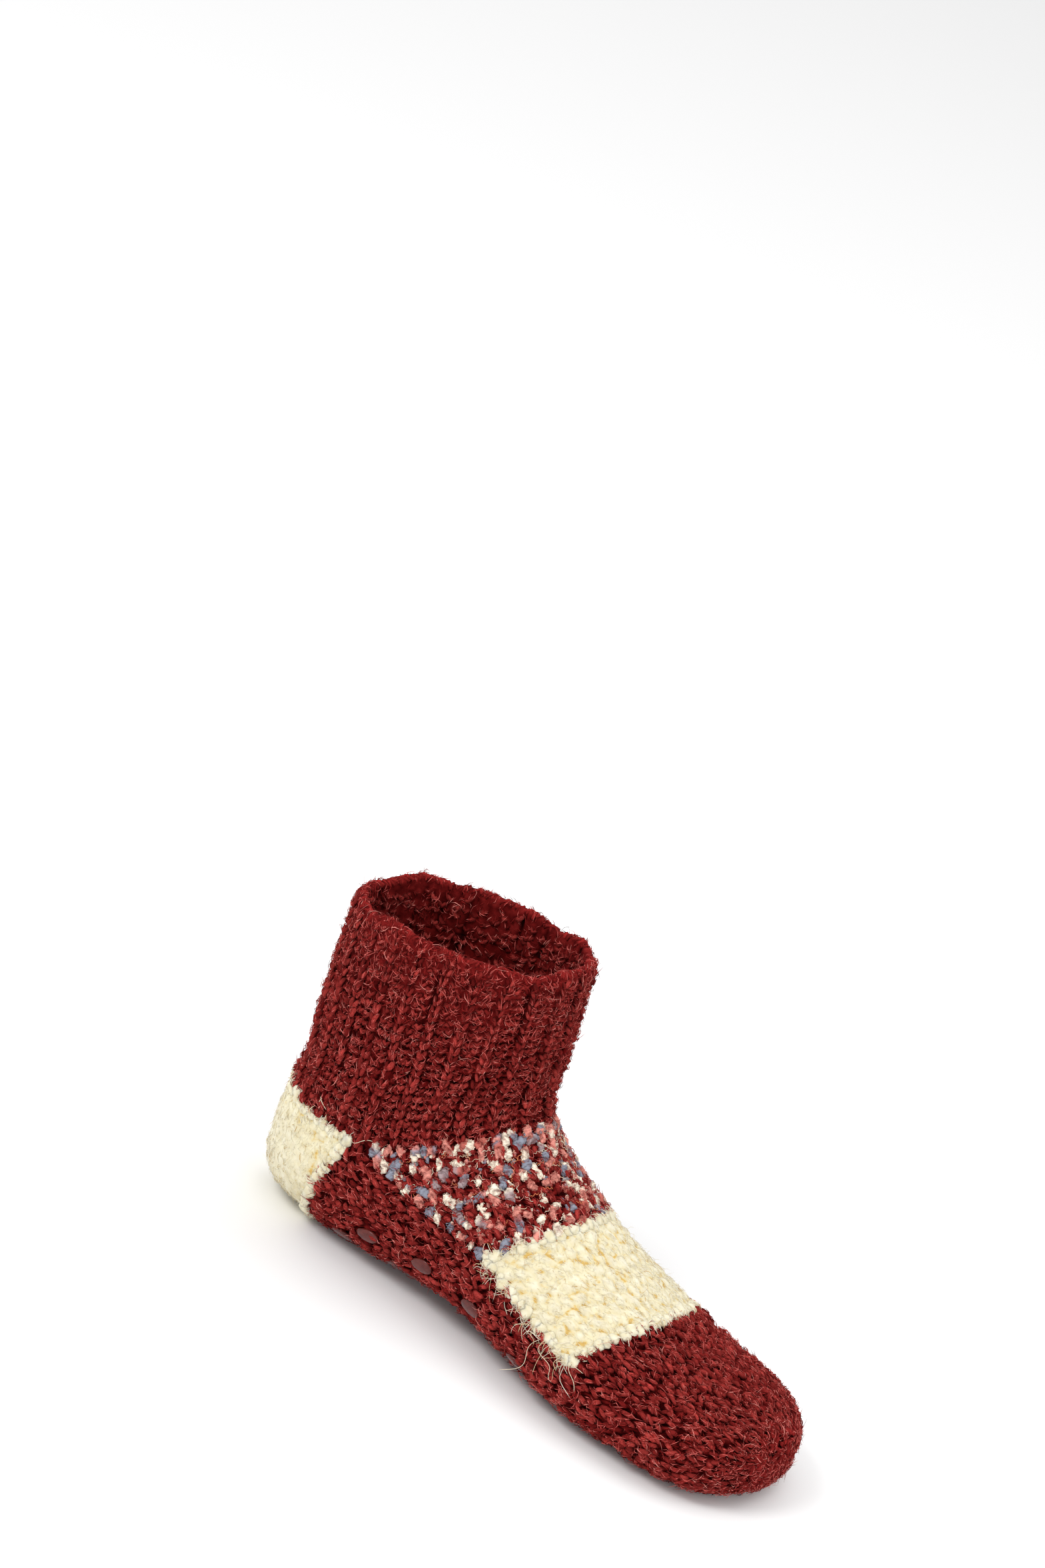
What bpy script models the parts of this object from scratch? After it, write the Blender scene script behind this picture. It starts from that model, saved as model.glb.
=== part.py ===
"""Slipper sock: a chunky ribbed knit sock with a cream heel, two yarn bands and a gripping sole.

The sock stands empty on its sole, toe along +X and leg up +Z, and is alike on both sides of
the XZ plane. Its skin is a fan of rings, from the rim of the leg round the heel to the toe.
Each ring joins a ridge point (instep or shin) to a base point (sole or calf). A place on the
skin is given by a row (how far along the fan) and a girth share (0 at the ridge, 1 at the base).
The knitted pieces are patches of that skin with a wall inwards.
"""
from collections import namedtuple
from math import cos, pi, radians, sin, tan

import bmesh
import bpy
import numpy as np
from mathutils import Matrix, Vector

for old in list(bpy.data.objects):
    bpy.data.objects.remove(old, do_unlink=True)

# Driving dimensions in metres
FOOT_LENGTH = 0.250          # back of the heel to the toe tip
BALL_WIDTH = 0.096           # widest part of the forefoot
HEEL_WIDTH = 0.071           # across the heel
INSTEP_HEIGHT = 0.067        # knit sole to the top of the instep, halfway along the foot
ARCH_LIFT = 0.0034           # how far the waist of the sole rises
TOE_MID_HEIGHT = 0.0150      # height of the toe tip above the knit sole
SOLE_FLATTENING = 0.0013     # how much of the knit is pressed flat where it stands
CUFF_DEPTH = 0.098           # front to back of the leg's rim
CUFF_WIDTH = 0.086           # side to side of the leg's rim
RIM_HEIGHT = 0.137           # middle of the rim above the knit sole
LEG_LEAN = 7.0               # degrees that the leg leans back
ANKLE_HEIGHT = 0.072         # height at which the leg starts to lean
ANKLE_SHARE = 0.212          # middle of the ankle, as a share of the foot's length
WALL = 0.0030                # thickness of the red knit
BOUCLE_STEP = 0.0013         # how far the looped cream and speckled yarns stand proud
GAP = 0.0003                 # clearance between neighbouring pieces

# Silicone grips under the sole, in metres
GRIP_LENGTH = 0.0100
GRIP_WIDTH = 0.0076
GRIP_THICKNESS = 0.0010
GRIP_ROUNDING = 0.0004
GRIP_PITCH = 0.027           # spacing of the grips along a row
GRIP_ROW_SPACING = 0.013     # spacing of the rows, measured round the sole
GRIP_ROWS_EACH_SIDE = 3
GRIP_START = 0.055           # first grip, measured from the back of the heel
GRIP_END = 0.222             # no grip lies past this
GRIP_EDGES = 14

BASE_LIFT = GRIP_THICKNESS + GAP     # the knit sole lies this high above the floor

# Rings of the leg above the heel. front_rise and back_rise are shares of the way from the top
# heel ring to the rim, back_dip a share of CUFF_DEPTH, width_share the way to CUFF_WIDTH.
LegRing = namedtuple("LegRing", "name front_rise back_rise back_dip width_share")
LEG_RINGS = (
    LegRing("rim", 1.00, 1.00, 0.000, 1.00),
    LegRing("welt edge", 0.67, 0.78, 0.006, 0.85),
    LegRing("mid leg", 0.36, 0.51, 0.018, 0.50),
    LegRing("ankle", 0.13, 0.27, 0.026, 0.18),
)
LEG_ROUNDNESS = 2.10
TOP_ROUNDNESS = 2.05

# Rings from the heel to the ball. ridge_x and base_x are shares of FOOT_LENGTH, ridge_z and
# base_z shares of INSTEP_HEIGHT. arch is a share of ARCH_LIFT, pressed a share of
# SOLE_FLATTENING, half_width a share of half the named width. side_share is where the ring is
# widest between ridge and base, and roundness the exponent of its lower half.
Ring = namedtuple("Ring", "name ridge_x ridge_z base_x base_z arch pressed half_width "
                          "side_share roundness")
HEEL_RINGS = (
    Ring("heel back", 0.398, 1.358, 0.002, 0.448, 0.0, 0.0, 1.030, 0.50, 2.15),
    Ring("heel corner", 0.408, 1.276, 0.024, 0.094, 0.0, 0.0, 1.015, 0.50, 2.30),
    Ring("heel base", 0.424, 1.194, 0.108, 0.000, 0.0, 1.0, 1.000, 0.51, 2.50),
    Ring("heel front", 0.450, 1.104, 0.248, 0.000, 0.0, 0.5, 0.990, 0.53, 2.60),
)
FOOT_RINGS = (
    Ring("waist", 0.496, 1.000, 0.368, 0.000, 1.0, 0.0, 0.745, 0.56, 2.60),
    Ring("instep", 0.560, 0.873, 0.488, 0.000, 1.0, 0.0, 0.805, 0.59, 2.60),
    Ring("ball back", 0.640, 0.746, 0.600, 0.000, 0.2, 0.0, 0.910, 0.61, 2.70),
    Ring("ball", 0.728, 0.634, 0.712, 0.000, 0.0, 1.0, 1.000, 0.61, 2.80),
    Ring("ball front", 0.816, 0.545, 0.812, 0.000, 0.0, 1.0, 0.985, 0.59, 2.80),
)

# Toe cap, from the last foot ring to the tip
TOE_PLAN_ROUNDNESS = 2.4
TOE_SIDE_ROUNDNESS = 4.0
TOE_TAPER = 0.22

# Where the yarns change, as rows of the fan
SIDE_GIRTH = 0.455           # girth share of the line between instep and sole
APEX_GIRTH = 0.535           # girth share of the point of the heel wedge
APEX_ROW = 4.62
HEEL_TOP_ROW = 3.42          # upper edge of the heel wedge at the calf
HEEL_SOLE_ROW = 6.30         # lower edge of the heel wedge under the sole
LOWER_EDGE_BEND = 0.75       # under 1, the lower edge drops more steeply from the point
YarnEdge = namedtuple("YarnEdge", "name at_ridge at_side")
SPECKLED_TOP = YarnEdge("speckled top", 5.85, 5.00)
CREAM_TOP = YarnEdge("cream top", 9.05, 8.45)
CREAM_END = YarnEdge("cream end", 11.15, 10.70)

# Facets of each stretch of the skin
LEG_FACETS = 12
HEEL_FACETS = 9
SPECKLED_FACETS = 8
CREAM_FACETS = 6
TOE_FACETS = 13
INSTEP_FACETS = 10
SOLE_FACETS = 10
DENSE_STEPS_PER_ROW = 24
DENSE_GIRTH_STEPS = 96

FOOT_ROWS = len(LEG_RINGS) + len(HEEL_RINGS) + len(FOOT_RINGS) - 1   # row of the last ring
TIP_ROW = FOOT_ROWS + 1                                              # row of the toe tip

RED = (0.205, 0.022, 0.020, 1.0)
CREAM = (0.870, 0.800, 0.560, 1.0)
SPECKLE = (0.300, 0.090, 0.090, 1.0)
SILICONE = (0.185, 0.080, 0.072, 1.0)


def ring_table():
    """One row for each ring: ridge x and z, base x and z, half width, side share, roundness."""
    top = HEEL_RINGS[0]
    top_front = Vector((top.ridge_x * FOOT_LENGTH, top.ridge_z * INSTEP_HEIGHT))
    top_back = Vector((top.base_x * FOOT_LENGTH, top.base_z * INSTEP_HEIGHT))
    top_half = top.half_width * HEEL_WIDTH / 2
    lean = radians(LEG_LEAN)
    rim = Vector((ANKLE_SHARE * FOOT_LENGTH - (RIM_HEIGHT - ANKLE_HEIGHT) * tan(lean), RIM_HEIGHT))
    half_depth = Vector((cos(lean), sin(lean))) * CUFF_DEPTH / 2
    table = []
    for ring in LEG_RINGS:
        front = top_front.lerp(rim + half_depth, ring.front_rise)
        back = top_back.lerp(rim - half_depth, ring.back_rise)
        half = top_half + (CUFF_WIDTH / 2 - top_half) * ring.width_share
        table.append((front.x, front.y, back.x + ring.back_dip * CUFF_DEPTH, back.y,
                      half, 0.5, LEG_ROUNDNESS))
    for rings, width in ((HEEL_RINGS, HEEL_WIDTH), (FOOT_RINGS, BALL_WIDTH)):
        for ring in rings:
            base_z = (ring.base_z * INSTEP_HEIGHT + ring.arch * ARCH_LIFT
                      - ring.pressed * SOLE_FLATTENING)
            table.append((ring.ridge_x * FOOT_LENGTH, ring.ridge_z * INSTEP_HEIGHT,
                          ring.base_x * FOOT_LENGTH, base_z,
                          ring.half_width * width / 2, ring.side_share, ring.roundness))
    return np.array(table)


def smooth_rows(table, rows):
    """The table read at fractional rows, along a Catmull-Rom curve through its rows."""
    padded = np.vstack([2 * table[0] - table[1], table, 2 * table[-1] - table[-2]])
    start = np.clip(np.floor(rows).astype(int), 0, len(table) - 2)
    t = (rows - start)[:, None]
    before, here, after, beyond = (padded[start + k] for k in range(4))
    return 0.5 * (2 * here + (after - before) * t
                  + (2 * before - 5 * here + 4 * after - beyond) * t ** 2
                  + (3 * here - before - 3 * after + beyond) * t ** 3)


def skin_grid():
    """Dense points of the +Y half of the skin, evenly spaced round each ring by girth.

    Each ring is two superellipse quarters that meet at its widest point. Past the last foot ring
    the ring shrinks to the tip, as superellipses in plan and from the side.
    """
    rows = np.arange(TIP_ROW * DENSE_STEPS_PER_ROW + 1) / DENSE_STEPS_PER_ROW
    table = smooth_rows(ring_table(), np.minimum(rows, FOOT_ROWS))
    ridge_x, ridge_z, base_x, base_z, half, side_share, roundness = table.T
    reach = np.sin(np.clip(rows - FOOT_ROWS, 0, 1) * pi / 2)
    plan = np.clip(1 - reach ** TOE_PLAN_ROUNDNESS, 0, 1) ** (1 / TOE_PLAN_ROUNDNESS)
    rise = np.clip(1 - reach ** TOE_SIDE_ROUNDNESS, 0, 1) ** (1 / TOE_SIDE_ROUNDNESS)
    in_toe = rows > FOOT_ROWS
    ridge_x = ridge_x + (FOOT_LENGTH - ridge_x) * reach
    base_x = base_x + (FOOT_LENGTH - base_x) * reach
    over = (ridge_z - TOE_MID_HEIGHT) * (1 - TOE_TAPER * reach) * rise
    under = (TOE_MID_HEIGHT - base_z) * rise
    ridge_z = np.where(in_toe, TOE_MID_HEIGHT + over, ridge_z)
    base_z = np.where(in_toe, TOE_MID_HEIGHT - under, base_z)
    half = half * plan

    angle = np.linspace(0, pi, 4 * DENSE_GIRTH_STEPS + 1)[None, :]
    power = np.where(angle < pi / 2, TOP_ROUNDNESS, roundness[:, None])
    across = np.clip(np.sin(angle), 0, 1) ** (2 / power)
    along = np.abs(np.cos(angle)) ** (2 / power)
    share = np.where(angle < pi / 2, side_share[:, None] * (1 - along),
                     side_share[:, None] + (1 - side_share[:, None]) * along)
    x = ridge_x[:, None] + (base_x - ridge_x)[:, None] * share
    y = half[:, None] * across
    z = np.maximum(ridge_z[:, None] + (base_z - ridge_z)[:, None] * share, 0.0)
    ring = np.stack([x, y, z + BASE_LIFT], axis=-1)

    step = np.linalg.norm(np.diff(ring, axis=1), axis=2)
    girth = np.concatenate([np.zeros((len(rows), 1)), np.cumsum(step, axis=1)], axis=1)
    even = np.linspace(0, 1, DENSE_GIRTH_STEPS + 1)
    points = np.empty((len(rows), len(even), 3))
    for i in range(len(rows)):
        for axis in range(3):
            points[i, :, axis] = np.interp(even * girth[i, -1], girth[i], ring[i, :, axis])
    points[:, [0, -1], 1] = 0.0
    return points, girth[:, -1]


def outward_grid(points):
    """Unit normals of the dense points, pointing out of the sock.

    They are the cross products of the differences along the rows and round the girth. On the
    ridge and the base they stay in the plane of symmetry, and at the toe tip they point ahead.
    """
    along = np.gradient(points, axis=0)
    around = np.gradient(points, axis=1)
    normals = np.cross(along, around)
    normals[:, [0, -1], 1] = 0.0
    normals[-1] = (1.0, 0.0, 0.0)
    return normals / np.linalg.norm(normals, axis=-1, keepdims=True)


SKIN, HALF_GIRTH = skin_grid()
OUTWARD = outward_grid(SKIN)
HEEL_BACK_X = -(SKIN[..., 0].min() + SKIN[..., 0].max()) / 2
SKIN[..., 0] += HEEL_BACK_X          # the origin is under the middle of the sock's length


def read_grid(grid, row, girth):
    """Values of a dense grid at arrays of rows and girth shares."""
    r = np.clip(np.asarray(row, float) * DENSE_STEPS_PER_ROW, 0, len(grid) - 1.000001)
    g = np.clip(np.asarray(girth, float) * DENSE_GIRTH_STEPS, 0, DENSE_GIRTH_STEPS - 0.000001)
    i, j = r.astype(int), g.astype(int)
    a, b = (r - i)[..., None], (g - j)[..., None]
    near = grid[i, j] * (1 - b) + grid[i, j + 1] * b
    far = grid[i + 1, j] * (1 - b) + grid[i + 1, j + 1] * b
    return near * (1 - a) + far * a


def on_skin(row, girth):
    """Points of the skin at arrays of rows and girth shares."""
    return read_grid(SKIN, row, girth)


def yarn_edge(edge, girth):
    """Row of a change of yarn: level across the ridge, it bends to its side row, then level."""
    return edge.at_ridge + (edge.at_side - edge.at_ridge) * np.clip(girth / SIDE_GIRTH, 0, 1) ** 2


def wedge_share(girth):
    """How far a girth share lies from the heel wedge's point (0) to its middle (1)."""
    return np.sin(np.clip((girth - APEX_GIRTH) / (1 - APEX_GIRTH), 0, 1) * pi / 2)


def leg_end(girth):
    """Last row of the leg: the speckled band's top, a short bridge, then the heel's top edge."""
    bridge = np.clip((girth - SIDE_GIRTH) / (APEX_GIRTH - SIDE_GIRTH), 0, 1)
    front = yarn_edge(SPECKLED_TOP, girth)
    return front + (APEX_ROW - front) * bridge + (HEEL_TOP_ROW - APEX_ROW) * wedge_share(girth)


def foot_start(girth):
    """First row of the foot: as the leg's end in front, and the heel's lower edge behind."""
    lower = (HEEL_SOLE_ROW - APEX_ROW) * wedge_share(girth) ** LOWER_EDGE_BEND
    return leg_end(np.minimum(girth, APEX_GIRTH)) + lower


def steps(row, girth):
    """Change of a skin point for one row, and for one whole half girth."""
    small = 0.002
    along = (on_skin(row + small, girth) - on_skin(row - small, girth)) / (2 * small)
    low, high = np.clip(girth - small, 0, 1), np.clip(girth + small, 0, 1)
    around = (on_skin(row, high) - on_skin(row, low)) / (high - low)[..., None]
    return along, around


def inset(edge, girth, distance):
    """Rows beside an edge, moved along the skin until they lie this distance from it."""
    small = 0.002
    low, high = np.clip(girth - small, 0, 1), np.clip(girth + small, 0, 1)
    along, _ = steps(edge(girth), girth)
    border = on_skin(edge(high), high) - on_skin(edge(low), low)
    turned = np.linalg.norm(np.cross(along, border), axis=-1)
    across = turned / np.linalg.norm(border, axis=-1)
    return edge(girth) + distance / across


def patch(first, last, facets, girths):
    """Rows and girth shares of a grid between two edge functions."""
    share = np.linspace(0, 1, facets + 1)[:, None]
    start, end = first(girths)[None, :], last(girths)[None, :]
    return start + (end - start) * share, np.broadcast_to(girths, (facets + 1, len(girths)))


def half_shell(patches, proud):
    """Mesh of the +Y half of a wall that follows the skin over several patches.

    The outer face stands proud of the skin and the inner face lies WALL inside it. Patches are
    welded where they meet, and every free edge off the plane of symmetry gets a rim.
    """
    bm = bmesh.new()
    outer, inner = {}, {}
    free_edges = set()

    def corner(point, normal):
        key = tuple(np.round(point * 1e6).astype(int))
        if key not in outer:
            outer[key] = bm.verts.new(point + normal * proud)
            inner[key] = bm.verts.new(point - normal * WALL)
        return key

    for rows, girths in patches:
        points, normals = on_skin(rows, girths), read_grid(OUTWARD, rows, girths)
        keys = [[corner(p, n) for p, n in zip(*pair)] for pair in zip(points, normals)]
        for i in range(len(keys) - 1):
            for j in range(len(keys[0]) - 1):
                loop = (keys[i][j], keys[i + 1][j], keys[i + 1][j + 1], keys[i][j + 1])
                loop = [key for n, key in enumerate(loop) if key != loop[n - 1]]
                if len(loop) < 3:
                    continue
                bm.faces.new([outer[key] for key in loop])
                bm.faces.new([inner[key] for key in reversed(loop)])
                for a, b in zip(loop, loop[1:] + loop[:1]):
                    if (b, a) in free_edges:
                        free_edges.remove((b, a))
                    else:
                        free_edges.add((a, b))
    for a, b in sorted(free_edges):
        if a[1] or b[1]:
            bm.faces.new((outer[b], outer[a], inner[a], inner[b]))
    mesh = bpy.data.meshes.new("half shell")
    bm.to_mesh(mesh)
    bm.free()
    return mesh


def material(name, colour, roughness):
    """Plain Principled BSDF material."""
    made = bpy.data.materials.new(name)
    made.use_nodes = True
    shader = made.node_tree.nodes["Principled BSDF"]
    shader.inputs["Base Color"].default_value = colour
    shader.inputs["Roughness"].default_value = roughness
    shader.inputs["Metallic"].default_value = 0.0
    return made


def place(name, mesh, finish):
    """Object with one material in the sock's collection."""
    made = bpy.data.objects.new(name, mesh)
    mesh.materials.clear()
    mesh.materials.append(finish)
    sock.objects.link(made)
    return made


def knitted(name, patches, finish, proud=0.0):
    """Both halves of a knitted piece. proud is how far it stands off the skin."""
    made = place(name, half_shell(patches, proud), finish)
    made.data.shade_smooth()
    mirror = made.modifiers.new("other half", "MIRROR")
    mirror.use_axis = (False, True, False)
    mirror.merge_threshold = 0.00005
    return made


def edge_rows(edge):
    """The function that gives an edge's rows at girth shares."""
    return lambda girth: yarn_edge(edge, girth)


def constant(row):
    """An edge that stays on one row."""
    return lambda girth: np.full_like(girth, row)


def beside(edge, distance):
    """An edge moved along the skin by a distance, which is negative towards the rim."""
    return lambda girth: inset(edge, girth, distance)


def grip(name, where, normal, heading, finish):
    """Oval silicone grip: a low disc with a rounded rim, lying on the knit along its normal.

    It is pressed flat where it meets the floor.
    """
    mesh = bpy.data.meshes.new(name)
    bm = bmesh.new()
    bmesh.ops.create_cone(bm, cap_ends=True, segments=GRIP_EDGES, radius1=0.5, radius2=0.5,
                          depth=GRIP_THICKNESS)
    bmesh.ops.scale(bm, vec=(GRIP_LENGTH, GRIP_WIDTH, 1), verts=bm.verts)
    rim = [edge for edge in bm.edges if all(vert.co.z > 0 for vert in edge.verts)]
    bmesh.ops.bevel(bm, geom=rim, offset=GRIP_ROUNDING, segments=1, profile=0.5, affect="EDGES")
    across = normal.cross(heading).normalized()
    turn = Matrix((across.cross(normal), across, normal)).transposed()
    stand = Matrix.Translation(where) @ turn.to_4x4()
    for vert in bm.verts:
        pressed = stand @ vert.co
        pressed.z = max(pressed.z, 0.0)
        vert.co = stand.inverted() @ pressed
    bm.to_mesh(mesh)
    bm.free()
    made = place(name, mesh, finish)
    made.matrix_world = stand
    return made


def grip_places():
    """Rows and girth shares of the grips of the +Y half, on a staggered lattice round the sole.

    A line of grips keeps its distance from the middle of the sole, measured round the skin.
    """
    rows = np.linspace(HEEL_SOLE_ROW, TIP_ROW - 0.1, 400)
    half_girth = np.interp(rows * DENSE_STEPS_PER_ROW, np.arange(len(HALF_GIRTH)), HALF_GIRTH)
    for line in range(GRIP_ROWS_EACH_SIDE + 1):
        girths = 1 - line * GRIP_ROW_SPACING / half_girth
        x = on_skin(rows, girths)[:, 0] - HEEL_BACK_X
        first = GRIP_START + (line % 2) * GRIP_PITCH / 2
        count = int((GRIP_END - first) / GRIP_PITCH + 1.0001)
        for k in range(count):
            row = np.interp(first + k * GRIP_PITCH, x, rows)
            yield line, k, row, np.interp(row, rows, girths)


sock = bpy.data.collections.new("slipper_sock")
bpy.context.scene.collection.children.link(sock)
RED_KNIT = material("red_knit", RED, 0.95)
CREAM_BOUCLE = material("cream_boucle", CREAM, 0.95)
SPECKLED_YARN = material("speckled_yarn", SPECKLE, 0.95)
CLEAR_SILICONE = material("clear_silicone", SILICONE, 0.25)

INSTEP = np.linspace(0, SIDE_GIRTH, INSTEP_FACETS + 1)
SOLE = np.linspace(APEX_GIRTH, 1, SOLE_FACETS + 1)
ALL_ROUND = np.concatenate([INSTEP, SOLE])
BELOW = np.concatenate([INSTEP[-1:], SOLE])

# The red knit is whole: cuff, leg, sides, sole and toe, with windows for the other yarns
knitted("knit_body", (
    patch(constant(0.0), leg_end, LEG_FACETS, ALL_ROUND),
    patch(foot_start, edge_rows(CREAM_TOP), SPECKLED_FACETS, BELOW),
    patch(edge_rows(CREAM_TOP), edge_rows(CREAM_END), CREAM_FACETS, BELOW),
    patch(edge_rows(CREAM_END), constant(TIP_ROW), TOE_FACETS, ALL_ROUND),
), RED_KNIT)

# Bands across the instep, which end a clearance short of the red knit at the side
SIDE_GAP = GAP / HALF_GIRTH[int(CREAM_TOP.at_side * DENSE_STEPS_PER_ROW)]
BAND = np.linspace(0, SIDE_GIRTH - 1.2 * SIDE_GAP, INSTEP_FACETS + 1)
knitted("speckled_band", (
    patch(beside(leg_end, GAP), beside(edge_rows(CREAM_TOP), -GAP / 2), SPECKLED_FACETS, BAND),
), SPECKLED_YARN, BOUCLE_STEP)
knitted("cream_band", (
    patch(beside(edge_rows(CREAM_TOP), GAP / 2), beside(edge_rows(CREAM_END), -GAP),
          CREAM_FACETS, BAND),
), CREAM_BOUCLE, BOUCLE_STEP)

# The heel wedge starts where its two edges are two clearances apart
HEEL_START = APEX_GIRTH + 3 * SIDE_GAP
HEEL = np.concatenate([[HEEL_START], SOLE[1:]])
knitted("heel_cup", (
    patch(beside(leg_end, GAP), beside(foot_start, -GAP), HEEL_FACETS, HEEL),
), CREAM_BOUCLE, BOUCLE_STEP)

for line, k, row, girth in grip_places():
    along, around = steps(row, girth)
    outward = Vector(np.cross(around, along)).normalized()
    if outward.dot(Vector((0, 0, -1))) < 0:
        outward = -outward
    spot = Vector(on_skin(row, girth)) + outward * (GAP + GRIP_THICKNESS / 2)
    for side, label in ((1, "left"), (-1, "right")):
        if line == 0 and side < 0:
            continue
        name = f"grip_{line}_{k + 1}" if line == 0 else f"grip_{label}_{line}_{k + 1}"
        flip = Vector((1, side, 1))
        grip(name, spot * flip, outward * flip, Vector(along) * flip, CLEAR_SILICONE)
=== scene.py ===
"""Looks of the slipper sock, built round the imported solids.

Every surface follows the sock's skin: a fan of rings from the rim of the leg, round the heel, to
the toe. A place on it is a row (how far along the fan) and a turn, from -1 to 1 round the ring,
0 on the ridge, with the side as its sign. Stitches, lumps, threads and fibres stand on the skin.
"""

from collections import namedtuple
from math import atan, cos, pi, radians, sin, tan

import bpy
import numpy as np
from mathutils import Matrix, Vector


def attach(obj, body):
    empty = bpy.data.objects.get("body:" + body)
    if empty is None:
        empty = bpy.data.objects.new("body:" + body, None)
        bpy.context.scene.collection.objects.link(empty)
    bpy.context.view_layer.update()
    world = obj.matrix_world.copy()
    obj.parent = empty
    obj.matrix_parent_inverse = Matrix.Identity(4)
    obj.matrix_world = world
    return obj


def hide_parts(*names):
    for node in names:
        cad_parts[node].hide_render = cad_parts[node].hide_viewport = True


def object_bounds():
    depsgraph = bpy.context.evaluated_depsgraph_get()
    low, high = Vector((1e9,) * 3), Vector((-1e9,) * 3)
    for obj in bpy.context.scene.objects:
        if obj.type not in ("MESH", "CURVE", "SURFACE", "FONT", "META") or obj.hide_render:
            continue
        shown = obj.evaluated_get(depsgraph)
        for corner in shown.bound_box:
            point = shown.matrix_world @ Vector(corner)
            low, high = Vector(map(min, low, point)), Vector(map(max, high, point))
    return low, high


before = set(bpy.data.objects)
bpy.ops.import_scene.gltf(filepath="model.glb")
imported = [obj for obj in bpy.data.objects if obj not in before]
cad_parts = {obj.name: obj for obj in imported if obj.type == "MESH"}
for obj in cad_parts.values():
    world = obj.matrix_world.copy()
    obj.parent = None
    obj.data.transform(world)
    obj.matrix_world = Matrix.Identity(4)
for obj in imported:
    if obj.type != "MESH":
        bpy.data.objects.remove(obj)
cad_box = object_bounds()
random = np.random.default_rng(20)
MM = 0.001

# Sizes of the sock in metres, as in the part's source
FOOT_LENGTH = 0.250
BALL_WIDTH = 0.096
HEEL_WIDTH = 0.071
INSTEP_HEIGHT = 0.067
ARCH_LIFT = 0.0034
TOE_MID_HEIGHT = 0.0150
SOLE_FLATTENING = 0.0013
CUFF_DEPTH = 0.098
CUFF_WIDTH = 0.086
RIM_HEIGHT = 0.137
LEG_LEAN = 7.0
ANKLE_HEIGHT = 0.072
ANKLE_SHARE = 0.212
WALL = 0.0030
GRIP_LENGTH = 0.0100
GRIP_WIDTH = 0.0076
GRIP_THICKNESS = 0.0010
GRIP_PITCH = 0.027
GRIP_ROW_SPACING = 0.013
GRIP_ROWS_EACH_SIDE = 3
GRIP_START = 0.055
GRIP_END = 0.222
GAP = 0.0003
BASE_LIFT = GRIP_THICKNESS + GAP

# Rings of the skin, as in the part's source: shares of the lengths above
LEG_RINGS = (                      # front rise, back rise, back dip, width share
    (1.00, 1.00, 0.000, 1.00),     # rim
    (0.67, 0.78, 0.006, 0.85),     # welt edge
    (0.36, 0.51, 0.018, 0.50),     # mid leg
    (0.13, 0.27, 0.026, 0.18),     # ankle
)
LEG_ROUNDNESS = 2.10
TOP_ROUNDNESS = 2.05
# ridge x and z, base x and z, arch, pressed, half width, side share, roundness
HEEL_RINGS = (
    (0.398, 1.358, 0.002, 0.448, 0.0, 0.0, 1.030, 0.50, 2.15),     # heel back
    (0.408, 1.276, 0.024, 0.094, 0.0, 0.0, 1.015, 0.50, 2.30),     # heel corner
    (0.424, 1.194, 0.108, 0.000, 0.0, 1.0, 1.000, 0.51, 2.50),     # heel base
    (0.450, 1.104, 0.248, 0.000, 0.0, 0.5, 0.990, 0.53, 2.60),     # heel front
)
FOOT_RINGS = (
    (0.496, 1.000, 0.368, 0.000, 1.0, 0.0, 0.745, 0.56, 2.60),     # waist
    (0.560, 0.873, 0.488, 0.000, 1.0, 0.0, 0.805, 0.59, 2.60),     # instep
    (0.640, 0.746, 0.600, 0.000, 0.2, 0.0, 0.910, 0.61, 2.70),     # ball back
    (0.728, 0.634, 0.712, 0.000, 0.0, 1.0, 1.000, 0.61, 2.80),     # ball
    (0.816, 0.545, 0.812, 0.000, 0.0, 1.0, 0.985, 0.59, 2.80),     # ball front
)
TOE_PLAN_ROUNDNESS = 2.4
TOE_SIDE_ROUNDNESS = 4.0
TOE_TAPER = 0.22
FOOT_ROWS = len(LEG_RINGS) + len(HEEL_RINGS) + len(FOOT_RINGS) - 1
TIP_ROW = FOOT_ROWS + 1

# Changes of yarn, as in the part's source
SIDE_GIRTH = 0.455
APEX_GIRTH = 0.535
APEX_ROW = 4.62
HEEL_TOP_ROW = 3.42
HEEL_SOLE_ROW = 6.30
LOWER_EDGE_BEND = 0.75
SPECKLED_TOP = (5.85, 5.00)        # row at the ridge, row at the side
CREAM_TOP = (9.05, 8.45)
CREAM_END = (11.15, 10.70)
DENSE_STEPS_PER_ROW = 24
DENSE_GIRTH_STEPS = 96

# The knit
LEG_WALES = 72                     # columns of stitches round the leg
FOOT_WALES = 52
LEG_COURSES = 21                   # rows of stitches from the rim to the bands
COURSE_HEIGHT = 4.4 * MM
WALE_WIDTH = 4.2 * MM
SPECKLED_COURSES = 13              # rows of stitches from edge to edge of the speckled band
CREAM_COURSES = 7.5                # rows of pillows along the cream band
PILLOW_WIDTH = 5.0 * MM
STITCH_DEPTH = 1.7 * MM
WALL_DEPTH = 2.0 * MM              # how far in the under side of the knit lies
LINING_DEPTH = 2.6 * MM            # how far in the lining's outer face lies
LINING_RELIEF = 0.9 * MM
FOOT_LIFT = -0.4 * MM              # the foot's ground lies under its yarn
RIM_RADIUS = 1.9 * MM
RIM_ROW = 0.12                     # row where the roll over the rim starts

# Photo frame, in pixels: its size, and the middle of the sock's outline in it
PHOTO_WIDTH, PHOTO_HEIGHT = 1568, 2352
SOCK_PIXEL = (858, 1756)
PIXELS_PER_METRE = 3850
CAMERA_AZIMUTH = 22.5
CAMERA_ELEVATION = 23.4
CAMERA_ROLL = 24.0
CAMERA_LENS = 130.0
SENSOR_WIDTH = 36.0


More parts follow.
